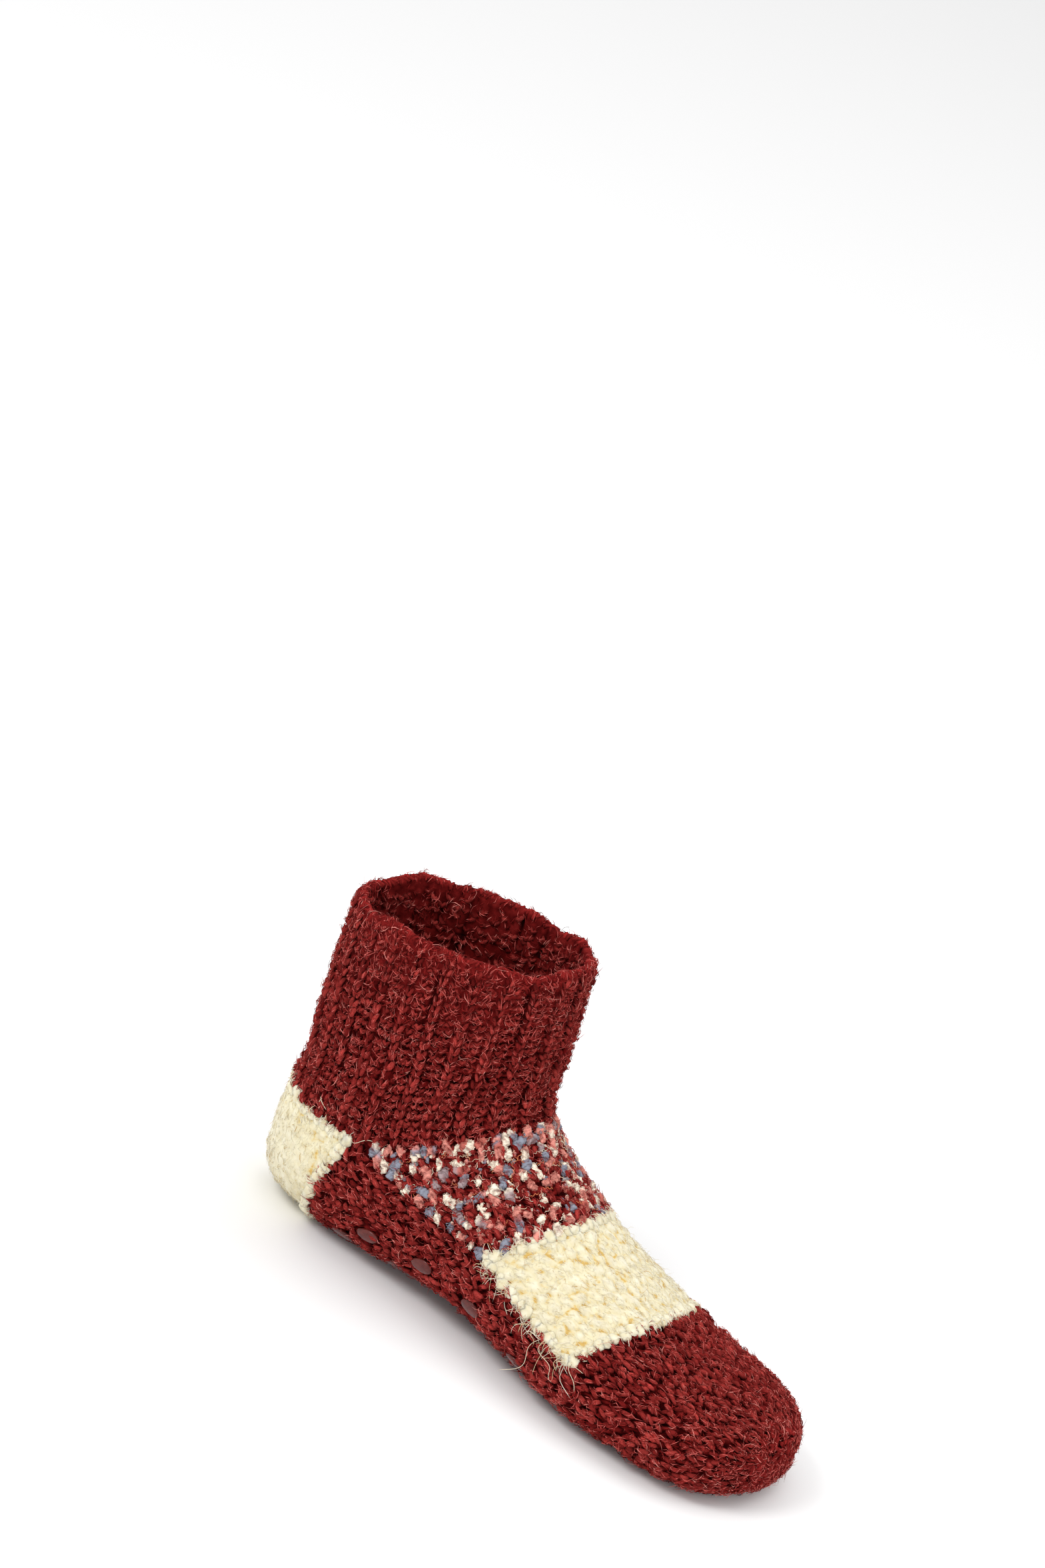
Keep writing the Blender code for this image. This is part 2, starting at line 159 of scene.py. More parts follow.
def srgb(red, green, blue):
    """Linear colour of a screen colour given from 0 to 255."""
    share = np.array([red, green, blue], float) / 255
    linear = np.where(share <= 0.04045, share / 12.92, ((share + 0.055) / 1.055) ** 2.4)
    return np.append(linear, 1.0)


# The skin


def ring_table():
    """One row for each ring: ridge x and z, base x and z, half width, side share, roundness."""
    top = HEEL_RINGS[0]
    top_front = Vector((top[0] * FOOT_LENGTH, top[1] * INSTEP_HEIGHT))
    top_back = Vector((top[2] * FOOT_LENGTH, top[3] * INSTEP_HEIGHT))
    top_half = top[6] * HEEL_WIDTH / 2
    lean = radians(LEG_LEAN)
    rim = Vector((ANKLE_SHARE * FOOT_LENGTH - (RIM_HEIGHT - ANKLE_HEIGHT) * tan(lean), RIM_HEIGHT))
    half_depth = Vector((cos(lean), sin(lean))) * CUFF_DEPTH / 2
    table = []
    for front_rise, back_rise, back_dip, width_share in LEG_RINGS:
        front = top_front.lerp(rim + half_depth, front_rise)
        back = top_back.lerp(rim - half_depth, back_rise)
        half = top_half + (CUFF_WIDTH / 2 - top_half) * width_share
        table.append((front.x, front.y, back.x + back_dip * CUFF_DEPTH, back.y,
                      half, 0.5, LEG_ROUNDNESS))
    for rings, width in ((HEEL_RINGS, HEEL_WIDTH), (FOOT_RINGS, BALL_WIDTH)):
        for ridge_x, ridge_z, base_x, base_z, arch, pressed, half, side, roundness in rings:
            table.append((ridge_x * FOOT_LENGTH, ridge_z * INSTEP_HEIGHT, base_x * FOOT_LENGTH,
                          base_z * INSTEP_HEIGHT + arch * ARCH_LIFT - pressed * SOLE_FLATTENING,
                          half * width / 2, side, roundness))
    return np.array(table)


def smooth_rows(table, rows):
    """The table read at fractional rows, along a Catmull-Rom curve through its rows."""
    padded = np.vstack([2 * table[0] - table[1], table, 2 * table[-1] - table[-2]])
    start = np.clip(np.floor(rows).astype(int), 0, len(table) - 2)
    t = (rows - start)[:, None]
    before, here, after, beyond = (padded[start + k] for k in range(4))
    return 0.5 * (2 * here + (after - before) * t
                  + (2 * before - 5 * here + 4 * after - beyond) * t ** 2
                  + (3 * here - before - 3 * after + beyond) * t ** 3)


def skin_grid():
    """Dense points of the +Y half of the skin, evenly spaced round each ring by girth.

    Each ring is two superellipse quarters that meet at its widest point. Past the last foot ring
    the ring shrinks to the tip, as superellipses in plan and from the side.
    """
    rows = np.arange(TIP_ROW * DENSE_STEPS_PER_ROW + 1) / DENSE_STEPS_PER_ROW
    table = smooth_rows(ring_table(), np.minimum(rows, FOOT_ROWS))
    ridge_x, ridge_z, base_x, base_z, half, side_share, roundness = table.T
    reach = np.sin(np.clip(rows - FOOT_ROWS, 0, 1) * pi / 2)
    plan = np.clip(1 - reach ** TOE_PLAN_ROUNDNESS, 0, 1) ** (1 / TOE_PLAN_ROUNDNESS)
    rise = np.clip(1 - reach ** TOE_SIDE_ROUNDNESS, 0, 1) ** (1 / TOE_SIDE_ROUNDNESS)
    in_toe = rows > FOOT_ROWS
    ridge_x = ridge_x + (FOOT_LENGTH - ridge_x) * reach
    base_x = base_x + (FOOT_LENGTH - base_x) * reach
    over = (ridge_z - TOE_MID_HEIGHT) * (1 - TOE_TAPER * reach) * rise
    under = (TOE_MID_HEIGHT - base_z) * rise
    ridge_z = np.where(in_toe, TOE_MID_HEIGHT + over, ridge_z)
    base_z = np.where(in_toe, TOE_MID_HEIGHT - under, base_z)
    half = half * plan

    angle = np.linspace(0, pi, 4 * DENSE_GIRTH_STEPS + 1)[None, :]
    power = np.where(angle < pi / 2, TOP_ROUNDNESS, roundness[:, None])
    across = np.clip(np.sin(angle), 0, 1) ** (2 / power)
    along = np.abs(np.cos(angle)) ** (2 / power)
    share = np.where(angle < pi / 2, side_share[:, None] * (1 - along),
                     side_share[:, None] + (1 - side_share[:, None]) * along)
    x = ridge_x[:, None] + (base_x - ridge_x)[:, None] * share
    y = half[:, None] * across
    z = np.maximum(ridge_z[:, None] + (base_z - ridge_z)[:, None] * share, 0.0)
    ring = np.stack([x, y, z + BASE_LIFT], axis=-1)

    step = np.linalg.norm(np.diff(ring, axis=1), axis=2)
    girth = np.concatenate([np.zeros((len(rows), 1)), np.cumsum(step, axis=1)], axis=1)
    even = np.linspace(0, 1, DENSE_GIRTH_STEPS + 1)
    points = np.empty((len(rows), len(even), 3))
    for i in range(len(rows)):
        for axis in range(3):
            points[i, :, axis] = np.interp(even * girth[i, -1], girth[i], ring[i, :, axis])
    points[:, [0, -1], 1] = 0.0
    return points, girth[:, -1]


def unit(vectors):
    """Vectors brought to length one."""
    return vectors / np.maximum(np.linalg.norm(vectors, axis=-1, keepdims=True), 1e-12)


def outward_grid(points):
    """Unit normals of the dense points: the cross products of their two differences."""
    normals = np.cross(np.gradient(points, axis=0), np.gradient(points, axis=1))
    normals[:, [0, -1], 1] = 0.0
    normals[-1] = (1.0, 0.0, 0.0)
    return unit(normals)


def travel_grid(points):
    """Distance from the rim along each column of the skin."""
    step = np.linalg.norm(np.diff(points, axis=0), axis=2)
    return np.vstack([np.zeros((1, points.shape[1])), np.cumsum(step, axis=0)])[..., None]


SKIN, HALF_GIRTH = skin_grid()
OUTWARD = outward_grid(SKIN)
TRAVEL = travel_grid(SKIN)
HEEL_BACK_X = -(SKIN[..., 0].min() + SKIN[..., 0].max()) / 2
SKIN[..., 0] += HEEL_BACK_X


def read_grid(grid, row, girth, steps_per_row=DENSE_STEPS_PER_ROW):
    """Values of a dense grid at arrays of rows and girth shares, mixed from the four round it."""
    r = np.clip(np.asarray(row, float) * steps_per_row, 0, len(grid) - 1.000001)
    g = np.clip(np.asarray(girth, float) * DENSE_GIRTH_STEPS, 0, DENSE_GIRTH_STEPS - 0.000001)
    i, j = r.astype(int), g.astype(int)
    a, b = (r - i)[..., None], (g - j)[..., None]
    near = grid[i, j] * (1 - b) + grid[i, j + 1] * b
    far = grid[i + 1, j] * (1 - b) + grid[i + 1, j + 1] * b
    return near * (1 - a) + far * a


def on_skin(row, turn):
    """Points and outward normals of the whole skin at arrays of rows and turns."""
    turn = (np.asarray(turn, float) + 1) % 2 - 1
    flip = np.where(turn < 0, -1.0, 1.0)[..., None] ** np.array([0, 1, 0])
    girth = np.abs(turn)
    return read_grid(SKIN, row, girth) * flip, unit(read_grid(OUTWARD, row, girth)) * flip


def toeward_step(row, turn, step):
    """Vectors along the skin from a step of rows before each place to a step past it."""
    return on_skin(row + step, turn)[0] - on_skin(row - step, turn)[0]


def travel(row, girth):
    """Distance from the rim at arrays of rows and girth shares."""
    return read_grid(TRAVEL, row, girth)[..., 0]


def whole_travel(girth):
    """Distance from the rim to the toe tip along the skin at girth shares."""
    return travel(np.full_like(girth, TIP_ROW), girth)


def half_girth(row):
    """Half the girth of the rings at an array of rows."""
    return np.interp(row * DENSE_STEPS_PER_ROW, np.arange(len(HALF_GIRTH)), HALF_GIRTH)


def yarn_edge(edge, girth):
    """Row of a change of yarn: level across the ridge, it bends to its side row, then level."""
    at_ridge, at_side = edge
    return at_ridge + (at_side - at_ridge) * np.clip(girth / SIDE_GIRTH, 0, 1) ** 2


def edge_rows(edge):
    """Edge function of a change of yarn: it gives rows at girth shares."""
    return lambda girth: yarn_edge(edge, girth)


speckled_top, cream_top, cream_end = map(edge_rows, (SPECKLED_TOP, CREAM_TOP, CREAM_END))


def level(row):
    """Edge function of a row that is the same all round."""
    return lambda girth: np.full_like(girth, row)


def row_between(first, last, turn, share):
    """Row at a share of the way from one edge to another."""
    top, end = first(np.abs(turn)), last(np.abs(turn))
    return top + (end - top) * share


def share_between(first, last, turn, row):
    """Share of the way from one edge to another at which a row lies."""
    top, end = first(np.abs(turn)), last(np.abs(turn))
    return (row - top) / (end - top)


def wedge_share(girth):
    """How far a girth share lies from the heel wedge's point (0) to its middle (1)."""
    return np.sin(np.clip((girth - APEX_GIRTH) / (1 - APEX_GIRTH), 0, 1) * pi / 2)


def leg_end(girth):
    """Last row of the leg: the speckled band's top, a short bridge, then the heel's top edge."""
    bridge = np.clip((girth - SIDE_GIRTH) / (APEX_GIRTH - SIDE_GIRTH), 0, 1)
    front = speckled_top(girth)
    return front + (APEX_ROW - front) * bridge + (HEEL_TOP_ROW - APEX_ROW) * wedge_share(girth)


def foot_start(girth):
    """First row of the foot: as the leg's end in front, and the heel's lower edge behind."""
    lower = (HEEL_SOLE_ROW - APEX_ROW) * wedge_share(girth) ** LOWER_EDGE_BEND
    return leg_end(np.minimum(girth, APEX_GIRTH)) + lower


def rows_between(first, last, count, girths):
    """Rows of a grid between two edge functions, evenly spaced along each column of the skin."""
    dense = np.linspace(0, TIP_ROW, 700)
    rows = np.empty((count + 1, len(girths)))
    for k, (girth, start, end) in enumerate(zip(girths, first(girths), last(girths))):
        reach = travel(dense, np.full_like(dense, girth))
        rows[:, k] = np.interp(np.linspace(*np.interp([start, end], dense, reach), count + 1),
                               reach, dense)
    rows[0], rows[-1] = first(girths), last(girths)
    return rows


# Random patterns


def ramp(low, high, value):
    """Smooth step from 0 at low to 1 at high."""
    t = np.clip((value - low) / (high - low), 0, 1)
    return t * t * (3 - 2 * t)


def hashed(cell, seed):
    """A random number from 0 to 1 for each whole-number cell: the fraction of a large sine."""
    turns = np.sin(cell @ np.array([127.1, 311.7, 74.7])[:cell.shape[-1]] + 19.19 * seed)
    return np.modf(np.abs(turns) * 43758.5453)[0]


def pillows(places, seed, softness, jitter, period=None):
    """Height from 0 in the gaps between the cells of a jittered lattice to 1 on their middles.

    Each cell's centre is the middle of a unit cell, moved by up to jitter along each axis. The
    height is a smooth step of how much further the next centre is than the nearest one. The
    lattice repeats after period cells along its first axis.
    """
    corner = np.floor(places)
    nearest = np.full(places.shape[:-1], np.inf)
    second = nearest.copy()
    for step in np.ndindex(*(3,) * places.shape[-1]):
        cell = corner + np.array(step) - 1
        name = cell.copy()
        if period:
            name[..., 0] %= period
        shift = np.stack([hashed(name, seed + axis) for axis in range(places.shape[-1])], -1)
        distance = np.linalg.norm(cell + 0.5 + jitter * (2 * shift - 1) - places, axis=-1)
        second = np.minimum(second, np.maximum(nearest, distance))
        nearest = np.minimum(nearest, distance)
    return ramp(0, softness, second - nearest)


def ripple(points, wavelength, seed):
    """Smooth random field from about -1 to 1: the mean of eight sines in random directions."""
    waves = np.random.default_rng(seed)
    headings = unit(waves.normal(size=(8, 3))) * waves.uniform(0.7, 1.4, (8, 1))
    phases = waves.uniform(0, 2 * pi, 8)
    return np.sin(points @ headings.T * 2 * pi / wavelength + phases).sum(axis=-1) / 3.2


# Meshes

Surface = namedtuple("Surface", "points under triangles relief row turn")


def link(name, data):
    """Object with given data, in the scene."""
    made = bpy.data.objects.new(name, data)
    bpy.context.scene.collection.objects.link(made)
    return made


def add_piece(name, points, triangles, finish, slot, attributes=(), replaces=()):
    """Object with a smooth mesh of triangles, riding on the sock."""
    mesh = bpy.data.meshes.new(name)
    mesh.vertices.add(len(points))
    mesh.vertices.foreach_set("co", np.ascontiguousarray(points, dtype=np.float32).ravel())
    mesh.loops.add(triangles.size)
    mesh.loops.foreach_set("vertex_index", np.ascontiguousarray(triangles, np.int32).ravel())
    mesh.polygons.add(len(triangles))
    mesh.polygons.foreach_set("loop_start", np.arange(0, triangles.size, 3, dtype=np.int32))
    mesh.update(calc_edges=True)
    mesh.polygons.foreach_set("use_smooth", np.ones(len(triangles), dtype=bool))
    for label, values in attributes:
        kind, field = {1: ("FLOAT", "value"), 3: ("FLOAT_VECTOR", "vector"),
                       4: ("FLOAT_COLOR", "color")}[values.size // len(points)]
        layer = mesh.attributes.new(label, kind, "POINT")
        layer.data.foreach_set(field, np.ascontiguousarray(values, dtype=np.float32).ravel())
    mesh.materials.append(finish)
    made = link(name, mesh)
    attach(made, "root")
    if replaces:
        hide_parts(*replaces)


def grid_triangles(shape):
    """Two triangles for each cell of a grid of points."""
    index = np.arange(shape[0] * shape[1]).reshape(shape)
    a, b, c, d = index[:-1, :-1], index[1:, :-1], index[1:, 1:], index[:-1, 1:]
    return np.concatenate([np.stack([a, b, c], -1).reshape(-1, 3),
                           np.stack([a, c, d], -1).reshape(-1, 3)])


def weld(places, triangles):
    """Makes corners one whose places agree to a micrometre.

    Gives the number of the point kept for each corner, and the triangles, without flat ones.
    """
    _, kept, same = np.unique(np.round(places * 1e6).astype(np.int64), axis=0,
                              return_index=True, return_inverse=True)
    triangles = same.ravel()[triangles]
    a, b, c = triangles.T
    return kept, triangles[(a != b) & (b != c) & (c != a)]


def join_grids(grids):
    """One surface from grids of rows, turns, bare points, finished points, relief, under side.

    Their corners are welded by their bare points.
    """
    triangles, start = [], 0
    for grid in grids:
        triangles.append(grid_triangles(grid[0].shape) + start)
        start += grid[0].size
    rows, turns, bare, finished, relief, under = (
        np.concatenate([grid[k].reshape(grid[0].size, -1) for grid in grids]) for k in range(6))
    kept, triangles = weld(bare, np.concatenate(triangles))
    return Surface(finished[kept], under[kept], triangles, relief[kept, 0], rows[kept, 0],
                   turns[kept, 0])


def add_wall(name, surface, finish, slot, replaces=()):
    """Closed piece of knit: the surface, its under side, and a strip along every open edge.

    An edge is open where only one triangle has it.
    """
    triangles, count = surface.triangles, len(surface.points)
    edges = np.concatenate([triangles[:, [0, 1]], triangles[:, [1, 2]], triangles[:, [2, 0]]])
    _, first, uses = np.unique(np.sort(edges, axis=1), axis=0, return_index=True,
                               return_counts=True)
    a, b = edges[first[uses == 1]].T
    strip = np.concatenate([np.stack([b, a, a + count], -1),
                            np.stack([b, a + count, b + count], -1)])
    add_piece(name, np.concatenate([surface.points, surface.under]),
              np.concatenate([triangles, triangles[:, ::-1] + count, strip]), finish, slot,
              [("relief", np.tile(surface.relief, 2))], replaces)


def joined(groups, *fields):
    """What many groups hold in each of the given fields, end to end."""
    return [np.concatenate([group[k] for group in groups]) for k in fields]


def corners(points, triangles):
    """The corners of triangles and their normals, each as long as twice its triangle's area."""
    a, b, c = (points[triangles[:, k]] for k in range(3))
    return a, b, c, np.cross(b - a, c - a)


def add_yarn(name, groups, finish, slot):
    """One piece of groups of points, triangles, tints and windings.

    The joined points, triangles and tints are given back.
    """
    starts = np.cumsum([0] + [len(group[0]) for group in groups])
    points, tints, windings = joined(groups, 0, 2, 3)
    triangles = np.concatenate([group[1] + start for group, start in zip(groups, starts)])
    add_piece(name, press(points), triangles, finish, slot,
              [("tint", tints), ("winding", windings)])
    return points, triangles, tints


def own_start(count):
    """Where in the fibre pattern each of many strands or lumps starts, so that no two match."""
    return 3.7 * np.arange(count) % 997


def spindle_triangles(count, rings, sides):
    """Triangles of many closed shapes, each a tip, rings of points and another tip."""
    here = np.arange(sides)
    following = (here + 1) % sides
    faces = [np.stack([np.zeros_like(here), 1 + here, 1 + following], -1)]
    for k in range(rings - 1):
        a, b = 1 + k * sides + here, 1 + k * sides + following
        faces += [np.stack([a, a + sides, b + sides], -1), np.stack([a, b + sides, b], -1)]
    end = 1 + (rings - 1) * sides
    faces.append(np.stack([np.full_like(here, end + sides), end + following, end + here], -1))
    starts = np.arange(count) * (2 + rings * sides)
    return (np.concatenate(faces) + starts[:, None, None]).reshape(-1, 3)


def strands(paths, radii, sides, upward):
    """Points and triangles of thin tubes along paths, pointed at both ends.

    paths has the shape (strand, place, 3) and radii (strand,) or (strand, inner place). A ring of
    sides points stands square to the path at each inner place.
    """
    count, places = paths.shape[:2]
    ahead = unit(np.gradient(paths, axis=1)[:, 1:-1])
    sideways = unit(np.cross(ahead, upward[:, None, :]))
    over = np.cross(ahead, sideways)
    angle = np.arange(sides) / sides * 2 * pi
    ring = (np.cos(angle)[:, None] * sideways[:, :, None, :]
            + np.sin(angle)[:, None] * over[:, :, None, :])
    radii = radii.reshape(count, -1, 1, 1) * np.ones((1, places - 2, 1, 1))
    rings = paths[:, 1:-1, None, :] + ring * radii
    points = np.concatenate([paths[:, :1], rings.reshape(count, -1, 3), paths[:, -1:]], axis=1)
    return points.reshape(-1, 3), spindle_triangles(count, places - 2, sides)[:, ::-1]


def lumps(centres, long_axes, side_axes, high_axes, profile, rings, sides):
    """Points, triangles, relief and winding of closed lumps, each a stretched, roughened ball.

    A ball point at polar angle s and turn t is the sum of the three axes times cos s, sin s cos t
    and sin s sin t, scaled by one plus profile(s, t, lump number). The winding, which the yarn's
    fibres follow, rises fast with s and slowly with t.
    """
    s = np.linspace(0, pi, rings + 1)[1:-1, None]
    t = np.arange(sides)[None, :] / sides * 2 * pi
    number = np.arange(len(centres))[:, None, None]
    rough = profile(s[None], t[None], number)
    ball = np.stack(np.broadcast_arrays(np.cos(s), np.sin(s) * np.cos(t), np.sin(s) * np.sin(t)))
    axes = np.stack([long_axes, side_axes, high_axes], axis=1)
    body = np.einsum("krs,nkd->nrsd", ball, axes) * (1 + rough[..., None])
    body = body.reshape(len(centres), -1, 3) + centres[:, None]
    points = np.concatenate([centres[:, None] + long_axes[:, None], body,
                             centres[:, None] - long_axes[:, None]], axis=1)
    relief = np.zeros(points.shape[:2])
    relief[:, 1:-1] = rough.reshape(len(centres), -1)
    winding = np.zeros(points.shape)
    winding[:, 1:-1] = np.stack(np.broadcast_arrays(
        0.4 * np.cos(t), 0.4 * np.sin(t), 1.6 * s + 0.5 * np.sin(t)), -1).reshape(-1, 3)
    winding[..., 2] += own_start(len(centres))[:, None]
    triangles = spindle_triangles(len(centres), rings - 1, sides)
    return points.reshape(-1, 3), triangles, relief.ravel(), winding.reshape(-1, 3)


# Stitches and lumps of the knit


def braid(wale, course, seed, period):
    """Relief of V stitches: each half wale holds slanting lobes that rise away from its middle."""
    across = wale - np.floor(wale) - 0.5
    slanted = np.stack([2 * wale, course - 1.1 * np.abs(across)], -1)
    height = pillows(slanted, seed, 0.62, 0.17, 2 * period)
    groove = 1 - 0.35 * np.exp(-(across / 0.07) ** 2)
    return height * groove * (0.55 + 0.45 * np.cos(pi * across) ** 0.7)


def purl(wale, course, seed, period):
    """Relief of purl stitches: wavy bumps that lie across the wale, one above the other."""
    wave = course * 1.35 + 0.16 * np.cos(2 * pi * wale)
    return pillows(np.stack([wale + 0.5, wave], -1), seed, 0.62, 0.22, period)


def leg_relief(row, turn, points):
    """Relief of the leg from 0 to 1: ribs of one braided wale and two purled ones, then felting.

    The upper part is felted: its stitches are flatter and thin grooves stand beside the braids.
    """
    girth = np.abs(turn)
    share = travel(row, girth) / travel(leg_end(girth), girth)
    wale = turn * LEG_WALES / 2 + 0.10 * ripple(points, 30 * MM, 3)
    course = share * LEG_COURSES + 0.18 * ripple(points, 22 * MM, 4)
    ribbed = braid(wale, course, 11, LEG_WALES)
    bumps = purl(wale, course, 21, LEG_WALES)
    kind = np.floor(wale) % 3
    stitch = np.where(kind == 0, 0.30 + 0.70 * ribbed, 0.85 * bumps)
    felt = 1 - ramp(0.26, 0.50, share)
    groove = np.exp(-((wale + 1.5) % 3 - 1.5) ** 2 / 0.012)
    felted = 0.60 + 0.25 * (stitch - 0.5) - 0.60 * groove + 0.12 * ripple(points, 4.2 * MM, 5)
    rough = stitch + 0.12 * ripple(points, 3.2 * MM, 6)
    return np.clip(rough * (1 - felt) + felted * felt, 0, 1)


def foot_relief(row, turn, points):
    """Relief of the foot and toe from 0 to 1: V stitches that turn to loose lumps at the tip."""
    girth = np.abs(turn)
    from_tip = whole_travel(girth) - travel(row, girth)
    wale = turn * FOOT_WALES / 2 + 0.12 * ripple(points, 26 * MM, 13)
    course = from_tip / COURSE_HEIGHT + 0.20 * ripple(points, 20 * MM, 14)
    ribbed = braid(wale, -course, 31, FOOT_WALES)
    loose = pillows(points / (3.6 * MM), 41, 0.60, 0.42)
    tip = 0.35 + 0.65 * (1 - ramp(14 * MM, 50 * MM, from_tip))
    mixed = ribbed * (1 - tip) + loose * tip
    return np.clip(mixed + 0.14 * ripple(points, 3.4 * MM, 16), 0, 1)


# Creases pressed in, in metres on the standing sock: two ends, depth and half width
CREASES = (
    ((-0.030, 0.030, 0.072), (-0.013, 0.000, 0.090), 1.3 * MM, 4.0 * MM),
    ((-0.030, -0.030, 0.072), (-0.013, 0.000, 0.090), 1.1 * MM, 4.0 * MM),
    ((-0.020, 0.036, 0.058), (0.002, 0.010, 0.078), 0.9 * MM, 3.6 * MM),
    ((-0.020, -0.036, 0.058), (0.002, -0.010, 0.078), 0.9 * MM, 3.6 * MM),
    ((-0.118, -0.018, 0.062), (-0.112, 0.020, 0.066), 1.2 * MM, 5.0 * MM),
    ((0.062, -0.044, 0.026), (0.076, -0.020, 0.043), 0.8 * MM, 4.5 * MM),
    ((0.060, 0.046, 0.024), (0.078, 0.018, 0.042), 0.8 * MM, 4.5 * MM),
)


def crease_depth(points):
    """How far the creases press each point in: a bell curve of its distance from their lines."""
    depth = np.zeros(points.shape[:-1])
    for start, end, deep, half_width in CREASES:
        a, b = np.array(start), np.array(end)
        share = np.clip((points - a) @ (b - a) / ((b - a) @ (b - a)), 0, 1)
        distance = np.linalg.norm(points - a - share[..., None] * (b - a), axis=-1)
        depth += deep * np.exp(-(distance / half_width) ** 2)
    return depth


def rim_height(turn):
    """How far the rim stands above or below its mean, from three waves round the leg."""
    return MM * (0.9 * np.sin(3 * pi * turn + 0.6) + 0.7 * np.sin(7 * pi * turn + 2.1)
                 + 0.5 * np.sin(11 * pi * turn + 4.0))


def press(points):
    """Nothing goes below the floor."""
    points[..., 2] = np.maximum(points[..., 2], 0.0)
    return points


def stand_on(rows, turns, out):
    """Points that stand a distance out of the skin along its normals.

    The creases press them in, and under the sole the knit is pressed thin so the grips show.
    """
    bare, normals = on_skin(rows, turns)
    sole = ramp(0.70, 0.86, np.abs(turns)) * ramp(4.5, 6.5, rows)
    out = out * (1 - 0.45 * sole) - 0.60 * MM * sole - crease_depth(bare)
    points = bare + normals * out[..., None]
    points[..., 2] += rim_height(turns) * (1 - ramp(0.0, WAVE_END_ROW, rows))
    return press(points)


def dressed(rows, turns, relief_of, depth, lift):
    """A grid of the skin: rows, turns, bare points, finished points, relief and under side.

    A point stands out of the skin by lift plus depth times the relief less a half.
    """
    bare, _ = on_skin(rows, turns)
    relief = relief_of(rows, turns, bare)
    under = stand_on(rows, turns, np.full(rows.shape, -WALL_DEPTH))
    return rows, turns, bare, stand_on(rows, turns, lift + depth * (relief - 0.5)), relief, under


def turns_of(girths):
    """Turns of both sides from the girth shares of one, and the girth share of each."""
    turn = np.concatenate([-girths[::-1], girths[1:] if girths[0] == 0 else girths])
    return turn, np.abs(turn)


def patch(first, last, count, girths, relief_of, depth, lift):
    """Dressed grids of a patch between two edges, on both sides of the sock."""
    made = []
    halves = [turns_of(girths)[0]] if girths[0] == 0 else [-girths[::-1], girths]
    for turn in halves:
        share = np.abs(turn)
        rows = rows_between(first, last, count, share)
        made.append(dressed(rows, np.broadcast_to(turn, rows.shape), relief_of, depth, lift))
    return made


# Finishes

WHITE = (1.0, 1.0, 1.0, 1.0)


def add_node(tree, kind, **settings):
    """Shader node with its settings, and its inputs set to values or linked to sockets."""
    node = tree.nodes.new(kind)
    for key, value in settings.items():
        if not key.startswith("in_"):
            setattr(node, key, value)
            continue
        socket = node.inputs[key[3:].replace("_", " ")]
        if isinstance(value, bpy.types.NodeSocket):
            tree.links.new(value, socket)
        else:
            socket.default_value = value
    return node


def plain_finish(name, roughness, gloss=0.5):
    """Material with a Principled shader, and its node tree and shader."""
    made = bpy.data.materials.new(name)
    made.use_nodes = True
    tree = made.node_tree
    shader = tree.nodes["Principled BSDF"]
    shader.inputs["Roughness"].default_value = roughness
    shader.inputs["Specular IOR Level"].default_value = gloss
    return made, tree, shader


def ramp_node(tree, factor, stops):
    """Colour ramp through stops of place and colour."""
    node = add_node(tree, "ShaderNodeValToRGB", in_Fac=factor)
    node.color_ramp.elements[0].position, node.color_ramp.elements[0].color = stops[0]
    node.color_ramp.elements[1].position, node.color_ramp.elements[1].color = stops[-1]
    for place, colour in stops[1:-1]:
        node.color_ramp.elements.new(place).color = colour
    return node.outputs["Color"]


def multiply_node(tree, first, second):
    """Product of two colour sockets."""
    node = add_node(tree, "ShaderNodeMix", data_type="RGBA", blend_type="MULTIPLY", in_Factor=1.0)
    for socket, value in zip((s for s in node.inputs if s.type == "RGBA"), (first, second)):
        tree.links.new(value, socket)
    return next(socket for socket in node.outputs if socket.type == "RGBA")


def add_bumps(tree, shader, height, strength, distance):
    """Bumps on a shader, as high as a socket says."""
    bump = add_node(tree, "ShaderNodeBump", in_Strength=strength, in_Distance=distance,
                    in_Height=height)
    tree.links.new(bump.outputs["Normal"], shader.inputs["Normal"])


def knit_finish(name, stops, mottle, bump=0.8, patchy=0.1):
    """Felted knit: colour and painted shade by how high a place stands, mottled by the yarn and
    its fine hair.

    The bumps are the hair, which the finest noise draws matted, at half a millimetre and less.
    """
    made, tree, shader = plain_finish(name, 0.95, 0.05)
    place = add_node(tree, "ShaderNodeTexCoord").outputs["Object"]
    fine = add_node(tree, "ShaderNodeTexNoise", in_Scale=1500.0, in_Detail=5.0,
                    in_Roughness=0.65, in_Distortion=1.6, in_Vector=place)
    add_bumps(tree, shader, fine.outputs["Fac"], bump, 0.5 * MM)
    relief = add_node(tree, "ShaderNodeAttribute", attribute_name="relief")
    broad = add_node(tree, "ShaderNodeTexNoise", in_Scale=260.0, in_Detail=3.0, in_Vector=place)
    uneven = add_node(tree, "ShaderNodeMapRange", in_From_Min=0.35, in_From_Max=0.65,
                      in_To_Min=-0.5 * patchy, in_To_Max=patchy, in_Value=broad.outputs["Fac"])
    height = add_node(tree, "ShaderNodeMath", operation="ADD")
    tree.links.new(relief.outputs["Fac"], height.inputs[0])
    tree.links.new(uneven.outputs["Result"], height.inputs[1])
    # Painted shade: the ramp darkens the low places of the relief, the hollows of the knit, where
    # shade falls.
    colour = ramp_node(tree, height.outputs["Value"], stops)
    hairs = ramp_node(tree, fine.outputs["Fac"], [(0.30, mottle), (0.70, WHITE)])
    patches = ramp_node(tree, broad.outputs["Fac"], [(0.30, (0.86, 0.84, 0.84, 1)), (0.70, WHITE)])
    colour = multiply_node(tree, multiply_node(tree, colour, hairs), patches)
    tree.links.new(colour, shader.inputs["Base Color"])
    return made


